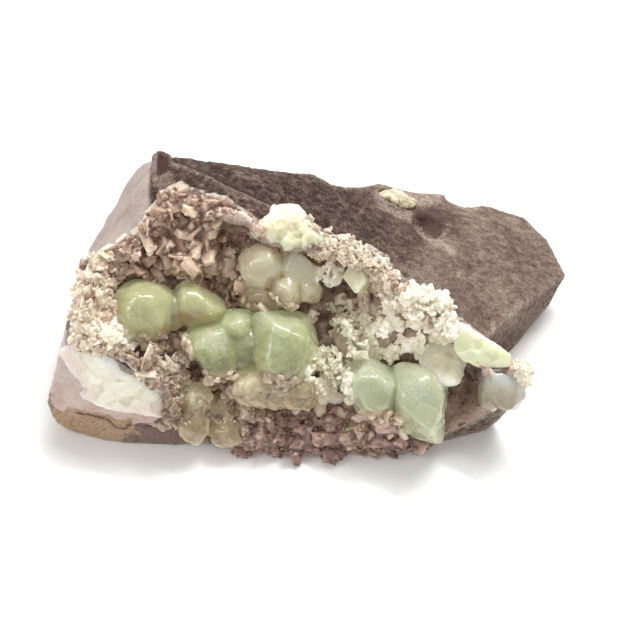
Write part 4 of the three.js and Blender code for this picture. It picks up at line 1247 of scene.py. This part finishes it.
def green_balls(name, node, lumps, mint_from, mint_to, frosts=(), ambers=(), finish=green):
    """A group of green balls, mint towards the top of its height range up the face."""
    thing = remeshed(ball_group(name, node, lumps), BALL_SKIN, 4)
    points, out = points_of(thing.data), outwards_of(thing.data)
    local = points - middle_of(node)
    facets, chips = flat_faces(points, 3.8, len(node)), flat_faces(points, 1.6, len(node) + 1)
    move_points(thing.data, points + out * (0.15 * facets + 0.03 * chips)[:, None])
    ball_skins[name] = Ground(thing)
    # the edge number is 1 where the skin turns sideways from the face; the finish paints glow there
    write(thing.data, mint=smoothstep(mint_from, mint_to, points[:, 1] + 0.5 * points[:, 2]),
          frost=marks(local, frosts, 40), amber=marks(local, ambers, 60),
          facet=facets + 0.5 * chips, thin=smoothstep(0.75, 0.05, out[:, 2]))
    return settle(thing, finish, green_slot, node)


green_balls("prehnite_pair_left", "prehnite_left_pair", [
    dict(rim=[
        (-11.1, 1.3), (-10.3, 3.6), (-8.9, 5.2), (-6.8, 6.2), (-4.4, 6.2), (-1.7, 5.6), (0.4, 4.6),
        (1.6, 3.1), (2.0, 0.7), (1.4, -2.2), (0.1, -4.2), (-1.9, -5.3), (-4.2, -5.9), (-6.6, -5.5),
        (-8.9, -3.8), (-10.7, -1.2)],
        level=-2.2, high=7.2, seed=3,
        planes=[(0.05, 0.82, 0.55, 0.97), (0.0, -0.12, 1, 0.94), (0.75, 0.2, 0.6, 0.97)]),
    dict(at=(1.6, 0.2, -4.0), size=(3.2, 4.0, 4.8), seed=5, crisp=8),
    dict(rim=[
        (1.4, 3.1), (2.2, 5.0), (3.8, 6.0), (5.9, 6.0), (7.5, 5.0), (9.2, 3.8), (10.8, 2.5), (12.1, 1.3),
        (12.3, 0.1), (11.2, -1.4), (9.6, -2.6), (7.5, -3.2), (5.1, -3.2), (3.0, -2.4), (1.6, -0.1)],
        level=-3.4, high=6.0, seed=4, planes=[(0.25, 0.85, 0.5, 0.96), (0.0, -0.1, 1, 0.94)])], -12, 4,
    ambers=[((0.6, -4.4, 0), (2.8, 2.6, 7)), ((6.0, -2.6, 0), (5.4, 3.0, 7))], finish=olive)
green_balls("prehnite_group_centre", "prehnite_centre_group", [
    dict(rim=[
        (0.1, 4.7), (0.7, 6.3), (2.2, 7.0), (4.8, 7.0), (7.7, 6.8), (10.2, 5.9), (12.0, 4.5), (13.2, 2.4),
        (13.9, -0.0), (13.4, -2.7), (12.4, -4.9), (11.0, -7.0), (8.7, -8.4), (6.3, -8.2), (3.8, -7.0),
        (1.7, -4.7), (0.5, -1.9), (-0.1, 1.4)],
        level=-1.2, high=7.6, seed=6,
        planes=[(0.36, 0.74, 0.56, 0.96), (-0.80, 0.10, 0.60, 0.86), (0.05, -0.12, 1, 0.93),
                (0.80, -0.3, 0.5, 0.97)]),
    dict(rim=[
        (-13.3, 1.6), (-12.2, 3.1), (-10.2, 3.9), (-7.5, 4.3), (-4.6, 4.5), (-2.2, 4.1), (-1.1, 1.8),
        (-1.1, -1.5), (-1.8, -4.3), (-3.4, -6.6), (-5.9, -7.2), (-8.1, -6.4), (-10.0, -4.3), (-11.8, -1.9),
        (-13.0, -0.2)], level=-2.4, high=6.6, seed=7),
    dict(rim=[
        (-5.9, 4.5), (-5.0, 6.3), (-3.6, 7.2), (-1.5, 7.2), (0.9, 6.5), (1.3, 3.9), (0.3, 1.0), (-2.6, 1.2),
        (-4.6, 2.7)], level=-2.4, high=6.4, seed=8, crisp=18),
    dict(at=(-1.0, -0.4, -3.0), size=(4.6, 5.0, 5.2), seed=9, crisp=8)], -15, 4,
    frosts=[((-6.7, 1.4, 3.5), (3.6, 3.2, 5)), ((2.4, 4.9, 5), (2.4, 2.0, 4)),
            ((0.8, 1.6, 5), (0.6, 3.2, 5))],
    ambers=[((-7.1, -6.6, 0), (5.0, 1.8, 7)), ((4.4, -8.4, 0), (6, 1.8, 7))])
green_balls("prehnite_pair_right", "prehnite_right_pair", [
    dict(rim=[
        (-1.2, 3.8), (-0.6, 5.8), (0.8, 7.1), (2.9, 7.1), (5.1, 6.5), (7.4, 5.6), (9.0, 3.8), (10.9, 1.3),
        (11.6, -0.4), (10.9, -3.2), (9.6, -5.9), (9.2, -7.5), (9.1, -8.7), (7.2, -8.5), (4.7, -7.5),
        (2.5, -6.3), (0.6, -4.4), (-0.8, -2.2), (-1.6, 0.7)],
        level=-1.2, high=7.4, seed=10, crisp=30, planes=[(0.1, 0.1, 1, 0.93), (0.28, 0.05, 0.96, 0.93)]),
    dict(rim=[
        (-10.3, 3.0), (-9.9, 5.0), (-8.4, 6.7), (-6.6, 8.3), (-4.9, 7.9), (-2.7, 6.7), (-0.8, 5.4),
        (0.2, 3.0), (0.2, -0.3), (-0.8, -3.2), (-2.7, -4.0), (-5.3, -3.4), (-7.6, -2.4), (-8.8, -0.5)],
        level=-1.8, high=6.8, seed=11, planes=[(0.0, 0.80, 0.60, 0.95), (0.0, -0.2, 1, 0.93)])], -33, -7,
    frosts=[((3.7, 2.2, 5), (3.4, 3.0, 4)), ((-6.0, 5.4, 5), (2.6, 1.6, 4))],
    ambers=[((-3.6, -3.4, 0), (3.6, 1.8, 7))], finish=mint_green)
green_balls("prehnite_ball_upper", "prehnite_upper_ball", [
    dict(rim=[
        (-7.9, 2.1), (-7.4, 4.6), (-6.2, 6.4), (-4.4, 7.4), (-2.1, 7.4), (0.2, 6.6), (2.0, 4.6), (2.4, 2.1),
        (1.0, -0.6), (-1.7, -2.4), (-4.4, -2.2), (-6.6, -0.8)], level=-1.2, high=6.0, seed=14),
    dict(rim=[
        (-0.2, 3.0), (1.8, 5.6), (3.2, 6.2), (4.9, 4.8), (7.2, 2.6), (7.6, 0.2), (6.4, -1.4), (4.2, -1.6),
        (2.0, -0.6), (0.6, 1.0)],
        level=1.4, high=4.2, seed=15, crisp=60, facets=8,
        planes=[(0.25, -0.25, 1, 0.62), (-0.7, 0.3, 0.8, 0.80)]),
    dict(rim=[
        (-1.8, -3.0), (-0.6, 0.0), (1.6, 1.3), (3.8, 0.6), (5.3, -1.4), (5.1, -3.4), (3.9, -5.3),
        (1.8, -5.9), (-0.4, -5.0)], level=-0.4, high=5.0, seed=18, crisp=30),
    dict(rim=[
        (3.3, -2.2), (4.9, 0.2), (7.3, 0.0), (8.8, -2.0), (8.2, -4.1), (6.1, -4.9), (4.1, -4.5)],
        level=-1.4, high=4.2, seed=16, crisp=36),
    dict(rim=[
        (-7.2, -3.7), (-6.0, -1.8), (-3.3, -1.4), (-0.5, -2.0), (2.0, -3.7), (2.0, -5.7), (-1.1, -6.9),
        (-4.8, -6.7), (-6.8, -5.5)], level=-3.2, high=4.6, seed=17)], -2, 11,
    frosts=[((3.8, 2.6, 3), (3.0, 3.2, 5)), ((-6.6, 2.0, 3), (0.9, 3, 5))],
    ambers=[((-3.5, -5.4, 0), (7, 3.2, 8)), ((-1.2, -1.6, 2), (1.6, 2.2, 5))], finish=beige_green)


def lapping(*ovals):
    """Crystals on the flanks of a ball, inside ovals on the display face: u, v, half width, half height."""
    def strength(at, out):
        near = np.maximum.reduce([zone(*oval)(at, out) for oval in ovals])
        return near * smoothstep(0.72, 0.45, out[:, 2]) * (at[:, 2] > 0.5)
    return strength


centre_skin, right_skin = ball_skins["prehnite_group_centre"], ball_skins["prehnite_pair_right"]
left_skin, upper_skin = ball_skins["prehnite_pair_left"], ball_skins["prehnite_ball_upper"]
under_centre = lapping((-25.3, -9.8, 2.6, 4.4), (-17.9, -16.0, 6, 3.0), (-6.8, -17, 7.5, 3.2))
fused("druse_lapping_balls", sandy, 0.20,
      *crop(centre_skin, "chunk", 0.9, 140, (1.1, 1.0, 0.9), 0.38, under_centre, lean=0.5, kinds=5),
      *crop(left_skin, "chunk", 0.8, 142, (1.1, 1.0, 0.9), 0.42, lapping((-31.9, -7.9, 5.5, 2.2)),
            kinds=4, lean=0.7),
      *crop(right_skin, "prism", 0.5, 143, (1.3, 1.1, 1.4), 0.55, lapping((16.5, -24.6, 4.5, 2.6)),
            kinds=3, blush=0.8, up=0.4),
      *crop(upper_skin, "chunk", 0.8, 144, (1.1, 1.0, 0.9), 0.22, lapping((-8.9, 0.2, 6.5, 2.4)),
            kinds=4, lean=0.6))
fused("druse_lapping_mint", pale, 0.19,
      *crop(centre_skin, "prism", 0.8, 145, (1.1, 1.0, 1.4), 0.80, lapping((2.3, -14.5, 2.8, 4.0)),
            kinds=3, mint=0.4, lift=0.1),
      *crop(right_skin, "prism", 0.8, 146, (1.1, 1.0, 1.4), 0.78, lapping((8.0, -16.0, 2.2, 5.0)),
            kinds=3, mint=0.4, lift=0.1),
      *crop(upper_skin, "prism", 0.5, 147, (1.1, 0.9, 1.2), 0.72, lapping((2.7, 4.0, 2.4, 3.4)), kinds=3))


def skinned(thing, node, finish, slot, frost=0.2, mint=0.0, blush=0.0, relief=0.0, cell=2.0, spill=0.0):
    """Breaks a piece's skin into small faces, spills it over its edge, writes its zones and settles it.

    frost, mint and blush are numbers, or words that work them out from the points.
    """
    mesh = thing.data
    points, out = points_of(mesh), outwards_of(mesh)
    faces = flat_faces(points, cell, len(node)) + 0.35 * flat_faces(points, cell * 0.42, len(node) + 1)
    skin = relief * (0.7 * faces + 0.5 * ripple(points, cell * 2, 3, 4, 0.8))
    move_points(mesh, points + out * skin[:, None] + out * (1, 1, 0) * spill)
    ask = lambda word: word(points) if callable(word) else word
    # the edge number marks where the finish paints glow; crest marks where it paints shade in hollows
    write(mesh, frost=ask(frost), mint=ask(mint), blush=ask(blush), amber=ask(blush), facet=faces,
          thin=smoothstep(0.75, 0.05, out[:, 2]),
          crest=np.clip(0.5 + 0.2 * faces + standing_out(mesh) / 0.8, 0, 1))
    return settle(thing, finish, slot, node)


def lumps_of(name, node, lumps, finish, slot, **words):
    """A cream or milky mass grown from a few lumps, placed from the middle of its CAD node."""
    return skinned(remeshed(ball_group(name, node, lumps), BALL_SKIN, 2), node, finish, slot, **words)


def from_cad(name, node, finish, slot, **words):
    """A piece that keeps its CAD node's shape, with a broken skin."""
    return skinned(remeshed(cad_copy(name, node), 0.3, 2), node, finish, slot, **words)


lumps_of("prehnite_crown", "prehnite_cream_crown", [
    dict(rim=[
        (-4.3, -0.5), (-3.9, 2.2), (-2.3, 4.0), (0.2, 4.8), (2.7, 4.6), (4.3, 2.8), (4.7, -0.5),
        (3.5, -3.4), (1.4, -4.4), (-1.5, -3.6), (-3.5, -2.4)],
        level=-0.6, high=4.1, seed=21, crisp=40, facets=18),
    dict(rim=[
        (-6.4, -0.5), (-5.4, 1.1), (-3.5, 2.6), (-1.5, 2.8), (-0.2, -0.1), (-1.0, -3.4), (-3.5, -2.8),
        (-5.4, -1.9)], level=-0.8, high=3.8, seed=22, crisp=40, facets=18),
    dict(rim=[
        (3.1, 3.8), (5.1, 2.0), (7.2, -0.1), (9.6, -1.9), (8.8, -3.4), (6.3, -4.0), (3.9, -4.2),
        (2.4, -2.2), (2.0, 1.1)], level=-0.2, high=4.4, seed=36, crisp=40, facets=18),
    dict(rim=[
        (-1.5, -2.2), (0.2, -0.1), (2.7, 0.3), (4.3, -1.3), (4.3, -3.6), (2.7, -4.6), (0.2, -4.6)],
        level=0.2, high=3.6, seed=41, crisp=40, facets=18)],
    cream, pale_slot, relief=0.40, cell=1.9,
    mint=lambda p: 0.5 * smoothstep(16.5, 13.0, p[:, 1]) * smoothstep(-8, -3, p[:, 0]),
    frost=lambda p: smoothstep(15.6, 18.2, p[:, 1]) * 0.9)
lumps_of("milky_lobes", "milky_lobes_centre", [
    dict(at=(-3.9, 0.9, -0.9), size=(4.4, 4.0, 5.0), seed=24, crisp=14),
    dict(at=(0.2, 0.6, -1.3), size=(4.0, 3.8, 4.6), seed=37, crisp=14),
    dict(at=(4.2, 0.8, -1.1), size=(4.0, 4.0, 4.8), seed=25, crisp=14)],
    milky, quartz_slot, relief=0.42, cell=2.2,
    frost=lambda p: np.maximum(blotch(p, (-10.5, -16.6, 5), (2.2, 2.0, 5), 72),
                               0.7 * blotch(p, (-3.5, -17.4, 4), (6.4, 2.0, 6), 73)),
    mint=lambda p: 0.50 + 0.4 * smoothstep(-19.5, -15, p[:, 1]) + 0.2 * smoothstep(-8, -11, p[:, 0]))
lumps_of("milky_knobs", "milky_knobs_left", [
    dict(at=(-3.4, 3.0, -0.9), size=(3.8, 3.9, 4.4), seed=26, crisp=14),
    dict(at=(-3.0, -2.0, -1.5), size=(3.0, 4.2, 3.6), seed=27, crisp=14),
    dict(at=(1.2, 0.6, -3.2), size=(3.0, 3.4, 3.0), seed=40, crisp=14),
    dict(at=(3.0, 1.2, -3.2), size=(3.4, 3.4, 3.0), seed=38, crisp=14),
    dict(at=(3.8, -2.9, -2.4), size=(3.4, 3.8, 3.2), seed=28, crisp=14)],
    milky, quartz_slot, relief=0.42, cell=2.2,
    frost=lambda p: np.maximum(blotch(p, (-24.0, -18.2, 6), (2.6, 2.4, 5), 71),
                               0.8 * blotch(p, (-22.6, -27.0, 3), (1.8, 1.8, 5), 74)),
    mint=lambda p: 0.35 + 0.6 * smoothstep(-23, -17, p[:, 1]) * smoothstep(-17, -21, p[:, 0]))
lumps_of("nodule_back", "cream_nodule_back", [
    dict(at=(0.4, 0, -0.5), size=(4.0, 1.7, 2.6), seed=29, turn=-14, slump=0.10),
    dict(at=(-2.4, 0.9, -0.4), size=(2.2, 1.2, 2.2), seed=39, slump=0.10)],
    weathered, pale_slot,
    frost=lambda p: smoothstep(21.5, 23.5, p[:, 1]) * 0.6, relief=0.40, cell=1.4)
lumps_of("prehnite_bud", "prehnite_small_bud", [
    dict(at=(0, 0.8, 0.3), size=(2.6, 2.2, 2.8), seed=31, facets=9, crisp=26, detail=4)],
    cream, pale_slot, mint=0.3)

quartz_ball = ball_group("quartz_ball", "quartz_ball_right", [
    dict(at=(0, -0.2, 0.2), size=(4.0, 4.3, 4.4), seed=30),
    dict(at=(-2.6, -1.6, -1.2), size=(2.2, 3.2, 3.0), seed=33),
    dict(at=(1.8, -2.6, -1.0), size=(2.2, 2.0, 3.0), seed=34)])
write(quartz_ball.data, mint=smoothstep(-20, -14, points_of(quartz_ball.data)[:, 1]))
settle(quartz_ball, quartz, quartz_slot, "quartz_ball_right")


def vein_blush(points):
    """Pink at the vein's left end and along its lower edge."""
    u, v = points[:, 0], points[:, 1]
    left = smoothstep(-41.5, -46.5, u + 0.25 * (v + 14) + 0.6 * ripple(points, 2.4, 8)) * 0.95
    return np.maximum(left, smoothstep(-19.0, -21.5, v - 0.1 * (u + 38) + 0.5 * ripple(points, 2.0, 7)))


from_cad("vein_face", "vein_broken_open", broken, pale_slot, spill=0.9, relief=0.42, cell=2.6,
         mint=lambda p: 0.35 * smoothstep(-40, -30, p[:, 0]), blush=vein_blush)
from_cad("wedge_face", "prehnite_rim_wedge", broken, pale_slot, spill=0.2, relief=0.30, cell=2.8,
         mint=lambda p: 0.9 * smoothstep(-5.0, -9.0, p[:, 1] + 0.35 * (p[:, 0] - 36)))


def fan_of_plates():
    """Curved plates opened like a fan, one behind the other."""
    middle = middle_of("prehnite_fan")
    plates = []
    for step in range(6):
        size = (5.0 - 0.25 * step, 2.9 - 0.1 * step, 0.60)
        plate = ball((0, 0, 0), size, 70 + step, facets=18, crisp=12, detail=4)
        root = Vector(middle) + Vector((0, 1.5 - 0.82 * step, -1.7 + 0.62 * step))
        plate.data.transform(Matrix.Translation(root) @ Matrix.Rotation(math.radians(-12), 4, "Z")
                             @ Matrix.Rotation(math.radians(38 - 13 * step), 4, "X"))
        plates.append(plate)
    fan = joined(plates[0], *plates[1:])
    fan.name = fan.data.name = "prehnite_fan_plates"
    skinned(fan, "prehnite_fan", layered, pale_slot, frost=0.1, mint=0.15, relief=0.12, cell=1.4)


fan_of_plates()


# ---------------------------------------------------------------- tufts that stand for CAD nodes


def tuft(name, node, core, core_slot, finish, habits, grains=None, **words):
    """Crystals grown over a CAD node, with the node's own shape as their root."""
    root = remeshed(cad_copy(name + "_root", node), 0.35, 2)
    points, out = points_of(root.data), outwards_of(root.data)
    move_points(root.data, points - out * ROOT_SUNK)
    skin = Ground(root)
    grown = [made for i, habit in enumerate(habits)
             for made in crop(skin, seed=200 + 7 * i + len(node), **habit)]
    fused(name + "_crystals", finish, 0.19, *grown, slot=core_slot, smooth=2, grains=grains)
    return skinned(root, node, core, core_slot, relief=0.2, cell=1.6, **words)


tuft("horn_cluster", "cream_horn_cluster", rooted, pale_slot, pale, [
    dict(shape="blade", per_mm2=0.5, size=(2.2, 1.7, 3.8), tone=1.02, lean=0.45, up=0.2),
    dict(shape="flake", per_mm2=0.45, size=(1.8, 1.4, 1.8), tone=0.95, kinds=4, lean=0.6)],
     grains=(snowy_free, 0.8, (0.8, 0.6, 1.0)))
tuft("blocky_crystals", "blocky_crystals_upper_left", milky, quartz_slot, rosy, [
    dict(shape="prism", per_mm2=0.14, size=(2.6, 2.4, 2.8), tone=0.50, lean=0.6, up=0.4, blush=0.2, kinds=4),
    dict(shape="flake", per_mm2=0.20, size=(2.4, 2.0, 2.2), tone=0.42, lean=0.6, blush=0.3, kinds=3)],
     blush=0.5)
tuft("popcorn", "popcorn_crystals_right", rooted, pale_slot, snowy, [
    dict(shape="flake", per_mm2=0.55, size=(1.7, 1.4, 1.7), tone=0.96, kinds=6, lift=0.1, lean=0.75,
         where=clumped(everywhere, 3.0, gaps=0.12)),
    dict(shape="prism", per_mm2=0.40, size=(1.6, 1.6, 1.7), tone=1.0, kinds=6, lift=0.1, lean=0.6,
         where=clumped(everywhere, 3.0, gaps=0.12))], grains=(snowy_free, 0.9, (0.95, 0.6, 1.0)))
tuft("mint_sprays", "mint_sprays_centre", rooted, pale_slot, pale, [
    dict(shape="flake", per_mm2=0.75, size=(1.5, 1.3, 1.5), tone=0.78, mint=0.6, lean=0.8, up=0.2, kinds=6,
         lift=0.1, spread=0.45, where=clumped(everywhere, 2.6, gaps=0.12)),
    dict(shape="point", per_mm2=0.25, size=(0.9, 0.9, 2.4), tone=0.72, mint=0.6, lean=0.6, up=0.2, lift=0.1)],
     mint=0.4, grains=(pale_free, 1.0, (0.8, 0.6, 0.9)))
tuft("white_crystals", "white_crystals_upper", rooted, quartz_slot, pale, [
    dict(shape="flake", per_mm2=0.9, size=(1.6, 1.3, 1.5), tone=0.98, kinds=4, lift=0.1, lean=0.7)],
     grains=(snowy_free, 1.0, (0.7, 0.6, 0.8)))
for side, seed in (("left", 0), ("right", 1)):
    tuft("pink_knobs_" + side, "pink_knobs_front_" + side, milky, quartz_slot, rosy, [
        dict(shape="point", per_mm2=0.9, size=(0.7, 0.7, 1.3), tone=0.60, blush=0.7, lean=0.5),
        dict(shape="chunk", per_mm2=0.5, size=(1.1, 1.0, 1.0), tone=0.55, blush=0.7, kinds=2)], blush=0.8)


def spray(u, v, count, long, wide, towards, tone, seed, spread=0.55, mint=0.0):
    """Thin blades opening from one root like a burst."""
    rng = np.random.default_rng(seed)
    axis = unit(np.array(towards, float) + rng.normal(0, spread, (count, 3)))
    at = np.array((u, v, height_at(u, v) - 1.0)) + rng.normal(0, 0.25, (count, 3))
    sizes = np.array((wide, wide, long)) * rng.uniform(0.7, 1.25, (count, 3))
    words = {"tone": np.clip(tone + rng.normal(0, 0.10, count), 0, 1.3), "mint": mint, "blush": 0.0}
    return copies("blade", at, axis, sizes, words, seed, 0.05)


LEFT_SPRAYS = [(-39.8, -6.6, -0.35), (-38.8, -7.6, 0.25)]                     # place, sideways lean
LOOSE_SPRAYS = [(-30.8, -12.9, 3.2), (-27.8, -12.4, 3.0), (2.8, -10.6, 3.4),
                (0.4, -15.0, 3.0), (-28.6, -9.4, 2.0), (21.5, -24.6, 3.2)]    # place, length
POPCORN_SPRAYS = [(19.9, -7.3), (18.9, -2.2), (20.8, 1.0), (23.6, 1.8),
                  (27.1, 0.3), (24.6, -4.8), (29.0, -4.8), (16.0, -5.0)]
MINT_SPRAYS = [(11.5, -3.6), (10.4, -7.7), (8.4, -11.0), (10.8, -10.8),
               (5.5, -14.4), (8.2, -14.7), (3.5, -17.4), (13.6, -7.0)]

standing_free(
    "prehnite_sprays", snowy_free, pale_slot,
    *[spray(u, v, 15, 4.0, 1.5, (lean, 0.5, 0.8), 1.1, 800 + i, spread=0.42)
      for i, (u, v, lean) in enumerate(LEFT_SPRAYS)],
    *[spray(u, v, 11, long, 1.1, (0, 0.35, 0.9), 1.0, 820 + i)
      for i, (u, v, long) in enumerate(LOOSE_SPRAYS)],
    *[spray(u, v, 9, 2.5, 1.5, (0, 0.2, 1.0), 1.05, 840 + i, spread=0.7)
      for i, (u, v) in enumerate(POPCORN_SPRAYS)])
standing_free(
    "druse_mint_sprays", pale_free, druse_slot,
    *[spray(u, v, 10, 2.8, 1.1, (0, 0.25, 0.95), 0.85, 860 + i, spread=0.65, mint=0.6)
      for i, (u, v) in enumerate(MINT_SPRAYS)])


# ---------------------------------------------------------------- floor, light and camera


def pale_floor():
    bm = bmesh.new()
    bmesh.ops.create_grid(bm, x_segments=1, y_segments=1, size=1.5)
    mesh = mesh_of(bm, "floor")
    floor = new_object("floor", mesh)
    f = Finish("floor_pale")
    tint = f.noise(f.node("ShaderNodeTexCoord", output="Object"), 3.0)
    mesh.materials.append(f.surface({
        "Base Color": f.ramp(tint, (0.3, (0.93, 0.93, 0.92)), (0.7, (0.95, 0.95, 0.945))), "Roughness": 0.9}))


def softbox(name, direction, away, width, height, power):
    """A rectangular light on the given side of the specimen, turned to face it."""
    light = bpy.data.lights.new(name, "AREA")
    light.shape, light.size, light.size_y, light.energy = "RECTANGLE", width, height, power
    lamp = new_object(name, light)
    side = Vector(direction).normalized()
    lamp.location = face_middle + side * away
    lamp.rotation_euler = side.to_track_quat("Z", "Y").to_euler()


def studio():
    world = bpy.data.worlds.new("studio")
    world.use_nodes = True
    world.node_tree.nodes["Background"].inputs["Color"].default_value = (1, 0.985, 0.96, 1)
    world.node_tree.nodes["Background"].inputs["Strength"].default_value = 0.62
    bpy.context.scene.world = world
    softbox("softbox_above", (0.20, 0.45, 0.87), 0.8, 0.62, 0.42, 4.8)
    softbox("softbox_strip", (0.24, 0.42, 0.87), 0.6, 0.24, 0.022, 1.3)
    softbox("softbox_left", (-0.85, -0.2, 0.65), 0.8, 0.35, 0.35, 1.2)
    bpy.context.scene.view_settings.view_transform = "Standard"


CAMERA_AWAY = 0.380                      # metres from the middle of the display face
FOCAL_LENGTH = 102.1                     # in mm, on a sensor 36 mm wide
SHIFT = (0.0234, -0.0242)


def camera():
    """Looks square at the display face."""
    lens = bpy.data.cameras.new("camera")
    lens.sensor_width, lens.lens = 36, FOCAL_LENGTH
    lens.shift_x, lens.shift_y = SHIFT
    lens.clip_start, lens.clip_end = 0.01, 10
    made = new_object("camera", lens)
    out = (FACE.to_3x3() @ Vector((0, 0, 1))).normalized()
    made.location = face_middle + out * CAMERA_AWAY
    made.rotation_euler = (LEAN, 0, 0)
    bpy.context.scene.camera = made


pale_floor()
studio()
camera()
